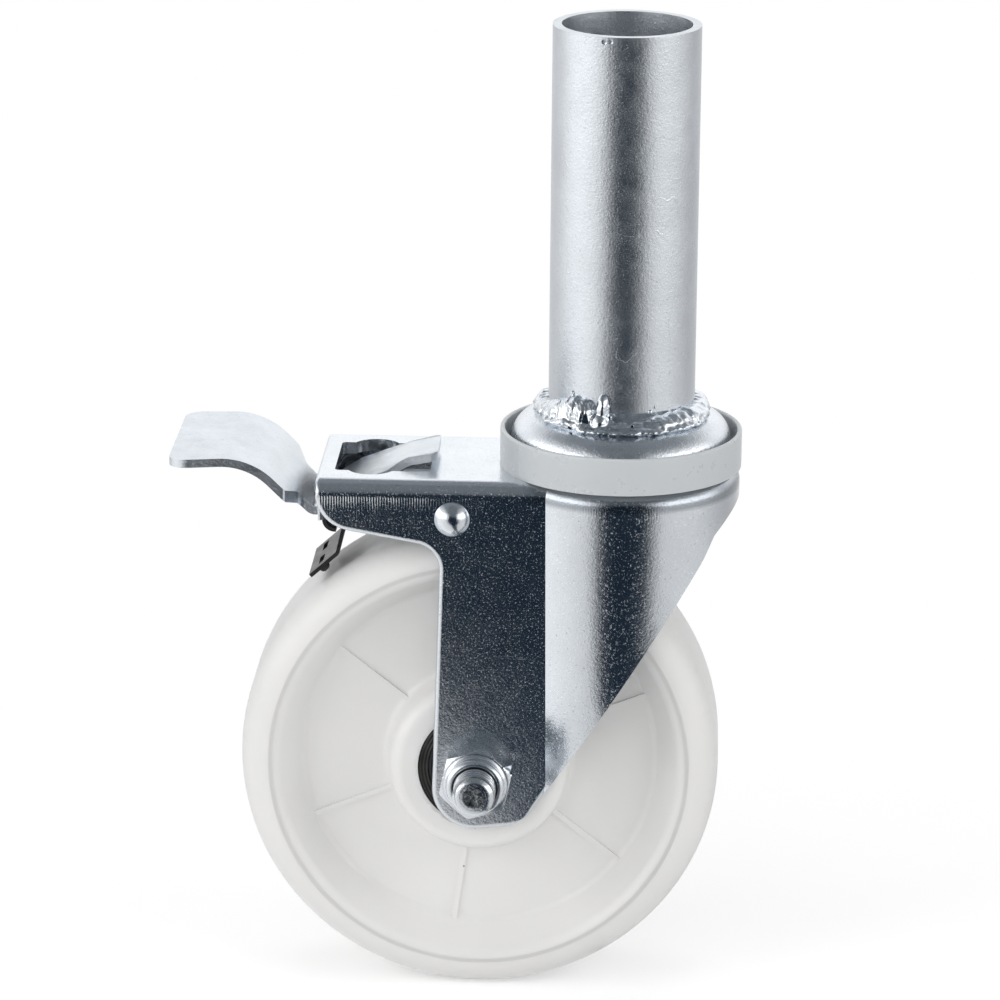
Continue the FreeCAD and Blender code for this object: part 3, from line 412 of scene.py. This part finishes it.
def dimple_shade(m, colour, normal):
    """Painted shade in the dimple at the cross bolt's end, patchy, over a pitted bump."""
    _, away = m.polar(AXLE, "Y")
    _, y, _ = m.split()
    in_dimple = m.range(away, 0.0034, 0.0042, 1.0, 0.0)
    at_tip = m.range(y, -0.0500, -0.0495, 1.0, 0.0)
    inside = m.times(in_dimple, at_tip)
    patchy = m.range(m.noise(620.0, 3.0), 0.38, 0.62, 0.55, 1.0)
    # Painted shade: the dimple is coloured near black
    colour = m.mix(m.times(inside, patchy), colour, (0.035, 0.04, 0.046))
    return colour, m.bump(m.times(inside, m.noise(900.0, 3.0)), 1.0, 0.0004, normal)


def window_shade(m, colour, normal):
    """Painted shade on the lever where it dips into the fork's window, and a torn edge on its tab."""
    x, y, z = m.split()
    uneven_z = m.plus(z, m.times(m.noise(300.0, 3.0), 0.003))
    low = m.range(uneven_z, -0.0225, -0.0160, 1.0, 0.0)
    in_window = m.times(m.range(x, -0.099, -0.095), m.range(x, -0.078, -0.074, 1, 0))
    ramp = m.times(low, in_window)
    # Painted shade: the ramp is coloured dark low in the fork's window
    colour = m.mix(m.times(ramp, 0.85), colour, (0.09, 0.105, 0.12))
    side = m.range(m.absolute(y), 0.0092, 0.0096)
    tab_edge = m.times(m.range(x, -0.080, -0.077), side)
    return colour, m.bump(m.times(tab_edge, m.noise(700.0, 4.0, 0.8)), 1.0, 0.0006, normal)


def weld_ripples(m, colour, normal):
    """Freezing ripples across the first deposit and lines along the second."""
    angle, _ = m.polar()
    _, _, z = m.split()
    along = m.times(angle, WELD_R)
    sway = m.times(m.noise(150.0, 2.0), 0.004)
    bow = m.times(m.math("POWER", m.minus(z, 0.004), 2.0), 90.0)
    across = m.wave(m.plus(m.plus(along, sway), bow), RIPPLE_SPACING)
    lengthwise = m.wave(m.plus(z, m.times(sway, 0.5)), LINE_SPACING)
    first = m.range(along, -0.0095, -0.0085, 1.0, 0.0)
    second = m.range(along, 0.004, 0.008)
    height = m.plus(m.times(across, first), m.times(lengthwise, second))
    return colour, m.bump(height, 1.0, RIPPLE_HEIGHT, normal)


def nylon(name, colour, rough, cloud=0.02, see_through=0.0, glow=0.25, detail=None):
    """Moulded nylon: a soft glow under the skin and a faintly uneven surface."""
    m = new_material(name)
    clouds = m.noise(24.0, 3.0, 0.5)
    tone = m.ramp(clouds, (0.3, shaded(colour, 1 - cloud)), (0.7, shaded(colour, 1 + cloud)))
    normal = m.bump(m.noise(900.0, 3.0), 0.12, 0.0001)
    normal = m.bump(m.noise(60.0, 3.0), 0.10, 0.0008, normal)
    if detail is not None:
        tone, normal = detail(m, tone, normal)
    m.link(tone, m.shader.inputs["Base Color"])
    cloudy_rough = m.range(m.noise(160.0, 4.0), 0.3, 0.7, rough * 0.85, rough * 1.15)
    m.link(cloudy_rough, m.shader.inputs["Roughness"])
    m.set(Subsurface_Weight=glow, Subsurface_Scale=0.004, Transmission_Weight=see_through)
    m.shader.inputs["Subsurface Radius"].default_value = (1.0, 0.95, 0.9)
    return m.finish(normal)


def wheel_wear(m, colour, normal):
    """Grease stain round the bearing seat, a few dark specks and faint rubbing on the tread."""
    angle, away = m.polar(AXLE, "Y")
    ragged = m.times(m.minus(m.noise(420.0, 3.0), 0.5), 0.0028)
    stain = m.band(m.plus(away, ragged), 0.0195, 0.0208, 0.0005)
    below = m.range(m.absolute(m.minus(angle, 0.35)), 0.3, 1.5, 0.55, 0.06)
    colour = m.mix(m.times(stain, below), colour, (0.10, 0.075, 0.05))
    speck = m.range(m.speckle(105.0), 0.030, 0.045, 1.0, 0.0)
    seldom = m.range(m.noise(31.0, 2.0), 0.56, 0.60)
    colour = m.mix(m.times(speck, m.times(seldom, 0.75)), colour, (0.12, 0.11, 0.10))
    tread = m.range(away, 0.0745, 0.079)
    scuffs = m.range(m.noise(200.0, 5.0, 0.8, m.stretched((1, 0.12, 1))), 0.52, 0.75, 0.0, 0.10)
    return m.mix(m.times(tread, scuffs), colour, (0.30, 0.29, 0.27)), normal


def ring_lines(m, colour, normal):
    """Mould lines across the dust ring's rim."""
    angle, _ = m.polar()
    for place in MOULD_LINES:
        normal = m.bump(m.band(angle, place - 0.004, place + 0.004, 0.008), 1.0, 0.00006, normal)
    return colour, normal


def black(name, colour, rough, metallic=0.0, rings=False):
    """Black rubber, nylon or steel, also painted shade, with rings about the axle on a seal."""
    m = new_material(name)
    dusty = [c * 2.4 + 0.003 for c in colour]
    m.link(m.ramp(m.noise(120.0, 4.0), (0.3, colour), (0.75, dusty)), m.shader.inputs["Base Color"])
    cloudy_rough = m.range(m.noise(260.0, 4.0), 0.3, 0.7, rough * 0.8, rough * 1.2)
    m.link(cloudy_rough, m.shader.inputs["Roughness"])
    m.set(Metallic=metallic)
    normal = m.bump(m.noise(1400.0, 3.0), 0.2, 0.00008)
    if rings:
        _, away = m.polar(AXLE, "Y")
        normal = m.bump(m.wave(away, SEAL_RING_SPACING), 1.0, 0.00008, normal)
    return m.finish(normal)


def dress(material, *nodes):
    """Give CAD nodes their material."""
    for node in nodes:
        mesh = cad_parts[node].data
        mesh.materials.clear()
        mesh.materials.append(material)


def pick(*objects):
    """Select these objects only; the first is the active one."""
    bpy.ops.object.select_all(action="DESELECT")
    for piece in objects:
        piece.select_set(True)
    bpy.context.view_layer.objects.active = objects[0]


def named(name):
    """Name the piece that was just made."""
    piece = bpy.context.object
    piece.name = piece.data.name = name
    return piece


def settle(piece):
    """Move a piece's place into its mesh."""
    pick(piece)
    bpy.ops.object.transform_apply(location=True, rotation=True, scale=True)


def modify(piece, kind, **values):
    """Put a modifier on a piece and apply it."""
    pick(piece)
    modifier = piece.modifiers.new(kind.lower(), kind)
    for key, value in values.items():
        setattr(modifier, key, value)
    bpy.ops.object.modifier_apply(modifier=modifier.name)


def blob(turn, away, height, size, tilt=0.0, fineness=2):
    """Drop of metal at an angle round the tube; its size is outwards, round and upwards."""
    bpy.ops.mesh.primitive_ico_sphere_add(subdivisions=fineness, radius=1,
                                          location=(away * math.sin(turn), -away * math.cos(turn), height),
                                          rotation=(tilt, 0, turn))
    drop = bpy.context.object
    drop.scale = (size[1], size[0], size[2])
    return drop


def weld_drops(chance):
    """Drops of the weld: two deposits and an upright one in front, even ones behind."""
    drops = []

    def deposit(start, end, step, tops, reach, length=0.0032):
        """Row of drops between two angles, about a step apart, whose tops follow the given heights."""
        turn = start
        while turn < end:
            share = (turn - start) / (end - start)
            place = share * (len(tops) - 1)
            index = min(int(place), len(tops) - 2)
            top = tops[index] + (tops[index + 1] - tops[index]) * (place - index)
            top *= chance.uniform(0.94, 1.06)
            out = reach * chance.uniform(0.93, 1.07)
            drops.append(blob(math.radians(turn), TUBE_R + 0.0001, top * 0.38, (out, length, top * 0.64)))
            turn += step * chance.uniform(0.85, 1.15)

    deposit(-86, -23, 2.6, (0.0035, 0.0055, 0.0068, 0.0088, 0.0104, 0.0098), 0.0048)
    deposit(-54, -26, 5.0, (0.0034, 0.0044, 0.0040), 0.0064, 0.0050)
    drops.append(blob(math.radians(-13.2), TUBE_R, 0.0064, (0.0033, 0.0024, 0.0060), 0.10, 3))
    drops.append(blob(math.radians(-14.5), TUBE_R + 0.0012, 0.0030, (0.0040, 0.0030, 0.0034), 0, 3))
    for turn, away, height, radius in SPATTER:
        drops.append(blob(math.radians(turn), away, height, (radius, radius, radius)))
    deposit(-24, 26, 3.0, (0.0020, 0.0027, 0.0024, 0.0028, 0.0020), 0.0072, 0.0062)
    deposit(13, 82, 2.8, (0.0030, 0.0044, 0.0052, 0.0056, 0.0052, 0.0040), 0.0056, 0.0040)
    deposit(26, 64, 4.0, (0.0022, 0.0030, 0.0024), 0.0068, 0.0058)
    rear_tops = (0.0044, 0.0058, 0.0050, 0.0062, 0.0050, 0.0064, 0.0048, 0.0056, 0.0040)
    deposit(80, 278, 3.4, rear_tops, 0.0052, 0.0036)
    return drops


def weld_pits():
    """Small holes at the rims of the weld."""
    pits = []
    for x, y, height, radius in PITS:
        bpy.ops.mesh.primitive_ico_sphere_add(subdivisions=2, radius=radius, location=(x, y, height))
        pits.append(bpy.context.object)
    pick(*pits)
    bpy.ops.object.join()
    cutter = named("weld_pits")
    settle(cutter)
    return cutter


def weld_run(sizes, finish):
    """Hand-laid weld round the tube's foot."""
    bpy.ops.object.select_all(action="DESELECT")
    bpy.ops.mesh.primitive_torus_add(major_radius=TUBE_R + ROOT_OUT, minor_radius=ROOT_R, major_segments=144,
                                     minor_segments=18, location=(0, 0, ROOT_Z))
    root = bpy.context.object
    pick(root, *weld_drops(random.Random(sizes.weld_seed)))
    bpy.ops.object.join()
    weld = named("weld_run")
    settle(weld)
    modify(weld, "REMESH", mode="VOXEL", voxel_size=sizes.weld_voxel)
    skin = bpy.data.textures.new("weld_skin", "CLOUDS")
    skin.noise_scale = WELD_SKIN_SCALE
    modify(weld, "DISPLACE", texture=skin, texture_coords="LOCAL", strength=WELD_SKIN_HEIGHT, mid_level=0.5)
    modify(weld, "SMOOTH", factor=0.5, iterations=5)
    cutter = weld_pits()
    # The pits' faces are coloured black: painted shade in the holes
    cutter.data.materials.append(black("pit_shade", (0.02, 0.021, 0.024), 0.6, 0.3))
    weld.data.materials.append(zinc_plate("zinc_weld", finish, 0.17, 0.03, 0.06, 0.98, weld_ripples))
    modify(weld, "BOOLEAN", operation="DIFFERENCE", object=cutter, solver="EXACT", material_mode="TRANSFER")
    bpy.data.objects.remove(cutter)
    pick(weld)
    bpy.ops.object.mode_set(mode="EDIT")
    bpy.ops.mesh.select_all(action="SELECT")
    bpy.ops.mesh.bisect(plane_co=(0, 0, WELD_FOOT_Z), plane_no=(0, 0, 1), use_fill=True, clear_inner=True)
    bpy.ops.object.mode_set(mode="OBJECT")
    bpy.ops.object.shade_smooth()
    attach(weld, "stem")
    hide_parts("weld_bead")


def node_copy(node, name):
    """Copy of a CAD node as a piece of its own, its loose triangles joined."""
    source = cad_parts[node]
    piece = source.copy()
    piece.data = source.data.copy()
    bpy.context.scene.collection.objects.link(piece)
    piece.name = piece.data.name = name
    piece.data.materials.clear()
    pick(piece)
    bpy.ops.object.mode_set(mode="EDIT")
    bpy.ops.mesh.select_all(action="SELECT")
    bpy.ops.mesh.remove_doubles(threshold=SAME_POINT)
    bpy.ops.object.mode_set(mode="OBJECT")
    return piece


def cross_bolt(sizes, finish):
    """The cross bolt with its thread cut in."""
    bolt = node_copy("axle_bolt", "cross_bolt")
    pitch, depth = sizes.thread_pitch, sizes.thread_depth
    start = (AXLE[0], BOLT_LOW[1] - pitch, AXLE[2])
    steps = THREAD_FACETS * THREAD_TURNS
    bpy.ops.object.select_all(action="DESELECT")
    bpy.ops.mesh.primitive_circle_add(vertices=3, radius=depth * GROOVE_WIDTH_SHARE, fill_type="NOTHING",
                                      location=start)
    groove = named("thread_groove")
    bpy.ops.object.mode_set(mode="EDIT")
    bpy.ops.mesh.select_all(action="SELECT")
    bpy.ops.transform.rotate(value=-math.pi / 2, orient_axis="Z", center_override=start)
    bpy.ops.transform.translate(value=(BOLT_R + depth * GROOVE_OUT_SHARE, 0, 0))
    bpy.ops.object.mode_set(mode="OBJECT")
    if min(v.co.x for v in groove.data.vertices) > BOLT_R - depth * GROOVE_REACH_SHARE:
        raise RuntimeError("the thread's groove points the wrong way")
    modify(groove, "SCREW", axis="Y", angle=2 * math.pi * THREAD_TURNS, screw_offset=pitch * THREAD_TURNS,
           steps=steps, render_steps=steps, use_normal_calculate=True)
    bpy.ops.object.mode_set(mode="EDIT")
    bpy.ops.mesh.select_all(action="SELECT")
    bpy.ops.mesh.fill_holes(sides=4)
    bpy.ops.mesh.normals_make_consistent(inside=False)
    bpy.ops.object.mode_set(mode="OBJECT")
    settle(groove)
    modify(bolt, "BOOLEAN", operation="DIFFERENCE", object=groove, solver="EXACT")
    bpy.data.objects.remove(groove)
    bolt.data.materials.append(zinc_plate("zinc_bolt", finish, 0.22, 0.05, 0.10, 0.95, dimple_shade))
    pick(bolt)
    bpy.ops.object.shade_smooth_by_angle(angle=EDGE_ANGLE)
    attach(bolt, "fork")
    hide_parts("axle_bolt")


def lock_nut(finish):
    """The lock nut, turned to where it was tightened."""
    nut = node_copy("axle_nut", "lock_nut")
    centre = Matrix.Translation(AXLE)
    nut.matrix_world = centre @ Matrix.Rotation(NUT_TURN, 4, "Y") @ centre.inverted()
    settle(nut)
    nut.data.materials.append(zinc_plate("zinc_nut", finish, 0.24, 0.02, 0.06))
    bpy.ops.object.shade_smooth_by_angle(angle=EDGE_ANGLE)
    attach(nut, "fork")
    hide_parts("axle_nut")


def throat_burr(finish):
    """Torn edge left by the press at the fork's throat."""
    burr_parts = []
    for x, z, length, turn in BURRS:
        bpy.ops.mesh.primitive_ico_sphere_add(subdivisions=3, radius=1, location=(x, BURR_Y, z),
                                              rotation=(0, turn, 0))
        bpy.context.object.scale = (*BURR_SIZE, length)
        burr_parts.append(bpy.context.object)
    pick(*burr_parts)
    bpy.ops.object.join()
    burr = named("throat_burr")
    settle(burr)
    modify(burr, "REMESH", mode="VOXEL", voxel_size=BURR_VOXEL)
    skin = bpy.data.textures.new("burr_skin", "CLOUDS")
    skin.noise_scale = 0.0008
    modify(burr, "DISPLACE", texture=skin, texture_coords="LOCAL", strength=0.0004, mid_level=0.5)
    pick(burr)
    bpy.ops.object.shade_smooth()
    burr.data.materials.append(zinc_plate("zinc_burr", finish, 0.35, 0.05, 0.10, 0.45))
    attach(burr, "fork")


class CASTOR_OT_stem(bpy.types.Operator):
    """Plate the stem tube and its head and lay the weld"""
    bl_idname = "castor.stem"
    bl_label = "Stem and head"

    def execute(self, context):
        sizes, finish = settings(context)
        tube_zinc = zinc_plate("zinc_tube", finish, finish.tube_roughness, 0.045, 0.13, 0.98, tube_marks)
        dress(tube_zinc, "stem_tube")
        dress(zinc_plate("zinc_cap", finish, 0.26, 0.045, 0.12), "head_cap")
        dress(zinc_plate("zinc_swivel", finish, 0.3, 0.04, 0.10, 0.8), "kingpin", "kingpin_nut", "lower_race")
        weld_run(sizes, finish)
        return {"FINISHED"}


class CASTOR_OT_fork(bpy.types.Operator):
    """Plate the fork and its rivet and colour the dust ring"""
    bl_idname = "castor.fork"
    bl_label = "Fork"

    def execute(self, context):
        _, finish = settings(context)
        fork_zinc = zinc_plate("zinc_fork", finish, finish.sheet_roughness, 0.028, 0.18, 1.0, stretch_marks)
        dress(fork_zinc, "fork")
        dress(zinc_plate("zinc_rivet", finish, 0.16, 0.02, 0.05), "cross_rivet", "pivot_pins")
        dress(nylon("natural_nylon", finish.ring_colour, 0.30, 0.01, 0.12, 0.3, ring_lines), "dust_ring")
        throat_burr(finish)
        return {"FINISHED"}


class CASTOR_OT_wheel(bpy.types.Operator):
    """Give the wheel and its bearings their finishes"""
    bl_idname = "castor.wheel"
    bl_label = "Wheel"

    def execute(self, context):
        _, finish = settings(context)
        dress(nylon("white_nylon", finish.nylon_colour, 0.36, detail=wheel_wear), "wheel")
        dress(black("seal_rubber", finish.black_colour, 0.45, rings=True),
              "near_bearing_seals", "far_bearing_seals")
        dress(black("bearing_ring", (0.022, 0.021, 0.020), 0.35, 0.6, rings=True),
              "near_bearing_outer_ring", "far_bearing_outer_ring")
        dress(zinc_plate("bearing_steel", finish, 0.18, 0.01, 0.02, 0.75),
              "near_bearing_inner_ring", "near_bearing_balls", "upper_balls",
              "far_bearing_inner_ring", "far_bearing_balls", "lower_balls")
        return {"FINISHED"}


class CASTOR_OT_axle(bpy.types.Operator):
    """Plate the axle's pieces and cut the bolt's thread"""
    bl_idname = "castor.axle"
    bl_label = "Axle"

    def execute(self, context):
        sizes, finish = settings(context)
        dress(zinc_plate("zinc_sleeve", finish, 0.25, 0.03, 0.08), "axle_sleeve", "distance_tube",
              "near_hub_spacer", "far_hub_spacer")
        # The nylon insert is coloured black: painted shade inside the nut
        dress(black("nut_nylon_shade", finish.black_colour, 0.4), "nut_insert")
        cross_bolt(sizes, finish)
        lock_nut(finish)
        return {"FINISHED"}


class CASTOR_OT_brake(bpy.types.Operator):
    """Give the brake's pieces their finishes"""
    bl_idname = "castor.brake"
    bl_label = "Brake"

    def execute(self, context):
        _, finish = settings(context)
        dress(zinc_plate("zinc_lever", finish, 0.32, 0.06, 0.14, 1.0, window_shade), "brake_lever")
        dress(black("spring_steel", (0.022, 0.022, 0.024), 0.34, 0.5), "brake_blade")
        dress(black("pad_rubber", finish.black_colour, 0.6), "brake_pad")
        dress(black("pin_steel", finish.black_colour, 0.35, 0.5), "blade_pin")
        dress(zinc_plate("zinc_bar", finish, 0.3, 0.04, 0.10, 0.7), "lock_bar")
        return {"FINISHED"}


def place_camera():
    """Camera at the photograph's angle."""
    camera = bpy.data.objects.new("camera", bpy.data.cameras.new("camera"))
    bpy.context.scene.collection.objects.link(camera)
    aim = Vector(CAMERA_TARGET) - Vector(CAMERA_PLACE)
    look = aim.to_track_quat("-Z", "Y").to_matrix().to_4x4()
    camera.location = CAMERA_PLACE
    camera.rotation_euler = (look @ Matrix.Rotation(CAMERA_ROLL, 4, "Z")).to_euler()
    camera.data.lens = CAMERA_LENS
    camera.data.sensor_width = CAMERA_SENSOR
    camera.data.clip_end = CAMERA_REACH
    bpy.context.scene.camera = camera


def soft_lamp(name, place, size, power):
    """Softbox that lights soft surfaces and that neither the camera nor bare metal sees."""
    data = bpy.data.lights.new(name, "AREA")
    data.shape = "RECTANGLE"
    data.size, data.size_y = size
    data.energy = power
    lamp = bpy.data.objects.new(name, data)
    bpy.context.scene.collection.objects.link(lamp)
    lamp.location = place
    lamp.rotation_euler = (Vector(LAMP_TARGET) - Vector(place)).to_track_quat("-Z", "Y").to_euler()
    lamp.visible_camera = False
    lamp.visible_glossy = False


def level_ramp(m, height, *stops):
    """Ramp over the upward share of a direction, from straight down at -1 to straight up at 1."""
    return m.ramp(m.range(height, -1, 1), *[((place + 1) / 2, value) for place, value in stops])


def studio_glow(m, direction):
    """Brightness of the studio as bare metal shows it: a dark gap before the object, pale to both sides."""
    unit = m.node("ShaderNodeVectorMath", operation="NORMALIZE")
    m.link(direction, unit.inputs[0])
    x, y, z = m.split(unit.outputs["Vector"])
    turn = m.math("ARCTAN2", x, m.times(y, -1.0))
    gap_middle = m.range(z, -0.7, -0.4, -0.02, 0.06)
    off = m.absolute(m.minus(turn, gap_middle))
    width = level_ramp(m, z, *GAP_WIDTHS)
    soft = m.range(z, -0.7, 0.5, 0.05, 0.28)
    past = m.math("DIVIDE", m.minus(off, width), soft)
    gap = m.range(past, -1, 1, 1, 0)
    gap_colour = level_ramp(m, z, *GAP_COLOURS)
    sides = m.ramp(m.range(turn, -math.pi, math.pi), *SIDE_TONES)
    aside = m.absolute(turn)
    behind = m.times(m.range(aside, 1.6, 2.4), m.range(z, -0.1, 0.2))
    sides = m.mix(behind, sides, BEHIND_LIGHT)
    softboxes = m.times(m.band(z, 0.05, 0.36, 0.12), m.range(aside, 1.6, 2.0, 1, 0))
    sides = m.mix(softboxes, sides, SOFTBOX_LIGHT, "ADD")
    sides = m.mix(m.range(z, 0.48, 0.80), sides, OVERHEAD_LIGHT)
    return m.mix(gap, sides, gap_colour)


def either(m, factor, first, second):
    """Shader that goes over from the first to the second with the factor."""
    choice = m.node("ShaderNodeMixShader")
    m.link(factor, choice.inputs["Fac"])
    m.link(first, choice.inputs[1])
    m.link(second, choice.inputs[2])
    return choice.outputs["Shader"]


def pale_floor():
    """Floor that takes the object's shadow, is white to the camera far off and shows the studio to metal."""
    m = new_material("pale_floor")
    m.shader.inputs["Base Color"].default_value = (0.9, 0.9, 0.9, 1)
    m.set(Roughness=1.0, Specular_IOR_Level=0.0)
    m.shader.inputs["Emission Color"].default_value = (1, 1, 1, 1)
    path = m.node("ShaderNodeLightPath")
    m.link(m.times(path.outputs["Is Camera Ray"], FLOOR_GLOW), m.shader.inputs["Emission Strength"])
    white = m.node("ShaderNodeEmission")
    glow = m.node("ShaderNodeEmission")
    x, y, _ = m.split()
    spot = m.node("ShaderNodeCombineXYZ")
    for value, socket in zip((x, y), spot.inputs):
        m.link(value, socket)
    spot.inputs["Z"].default_value = FLOOR_Z
    m.link(studio_glow(m, spot.outputs["Vector"]), glow.inputs["Color"])
    _, away = m.polar(FLOOR_MIDDLE)
    far = m.times(path.outputs["Is Camera Ray"], m.range(away, 0.13, 0.32))
    seen = either(m, far, m.shader.outputs["BSDF"], white.outputs["Emission"])
    shown = either(m, path.outputs["Is Glossy Ray"], seen, glow.outputs["Emission"])
    m.link(shown, m.tree.nodes["Material Output"].inputs["Surface"])
    return m.finish()


def hang_sky(context):
    """World that is white to the camera, even to soft surfaces and the studio to metal."""
    context.scene.world = bpy.data.worlds.new("studio")
    m = Nodes(context.scene.world, "Generated")
    path = m.node("ShaderNodeLightPath")
    glow = studio_glow(m, m.coords)
    colour = m.mix(path.outputs["Is Glossy Ray"], SOFT_LIGHT, glow)
    colour = m.mix(path.outputs["Is Camera Ray"], colour, (1, 1, 1))
    colour = m.mix(path.outputs["Is Transmission Ray"], colour, (1, 1, 1))
    m.link(colour, m.tree.nodes["Background"].inputs["Color"])


class CASTOR_OT_stage(bpy.types.Operator):
    """Lay the floor, hang the lamps and place the camera"""
    bl_idname = "castor.stage"
    bl_label = "Stage"

    def execute(self, context):
        bpy.ops.object.select_all(action="DESELECT")
        bpy.ops.mesh.primitive_plane_add(size=FLOOR_SIZE, location=(0, 0, FLOOR_Z))
        floor = named("floor")
        settle(floor)
        floor.data.materials.append(pale_floor())
        hang_sky(context)
        context.scene.view_settings.view_transform = "Standard"
        place_camera()
        for name, (place, size, power) in LAMPS.items():
            soft_lamp(name, place, size, power)
        return {"FINISHED"}


class CASTOR_PT_panel(bpy.types.Panel):
    """Buttons for each group of pieces and the stage"""
    bl_idname = "CASTOR_PT_panel"
    bl_label = "Scaffold Castor"
    bl_space_type = "VIEW_3D"
    bl_region_type = "UI"
    bl_category = "Castor"

    def draw(self, context):
        for group in settings(context):
            for name in group.bl_rna.properties.keys():
                if name not in {"rna_type", "name"}:
                    self.layout.prop(group, name)
        for operator in OPERATORS:
            self.layout.operator(operator.bl_idname)


OPERATORS = (CASTOR_OT_stem, CASTOR_OT_fork, CASTOR_OT_wheel,
             CASTOR_OT_axle, CASTOR_OT_brake, CASTOR_OT_stage)
CLASSES = (CastorSizes, CastorFinish, *OPERATORS, CASTOR_PT_panel)


def register():
    for cls in CLASSES:
        bpy.utils.register_class(cls)
    bpy.types.Scene.castor_sizes = PointerProperty(type=CastorSizes)
    bpy.types.Scene.castor_finish = PointerProperty(type=CastorFinish)


def unregister():
    del bpy.types.Scene.castor_finish
    del bpy.types.Scene.castor_sizes
    for cls in reversed(CLASSES):
        bpy.utils.unregister_class(cls)


def main():
    register()
    bpy.ops.castor.stem()
    bpy.ops.castor.fork()
    bpy.ops.castor.wheel()
    bpy.ops.castor.axle()
    bpy.ops.castor.brake()
    bpy.ops.castor.stage()


if __name__ == "__main__":
    main()
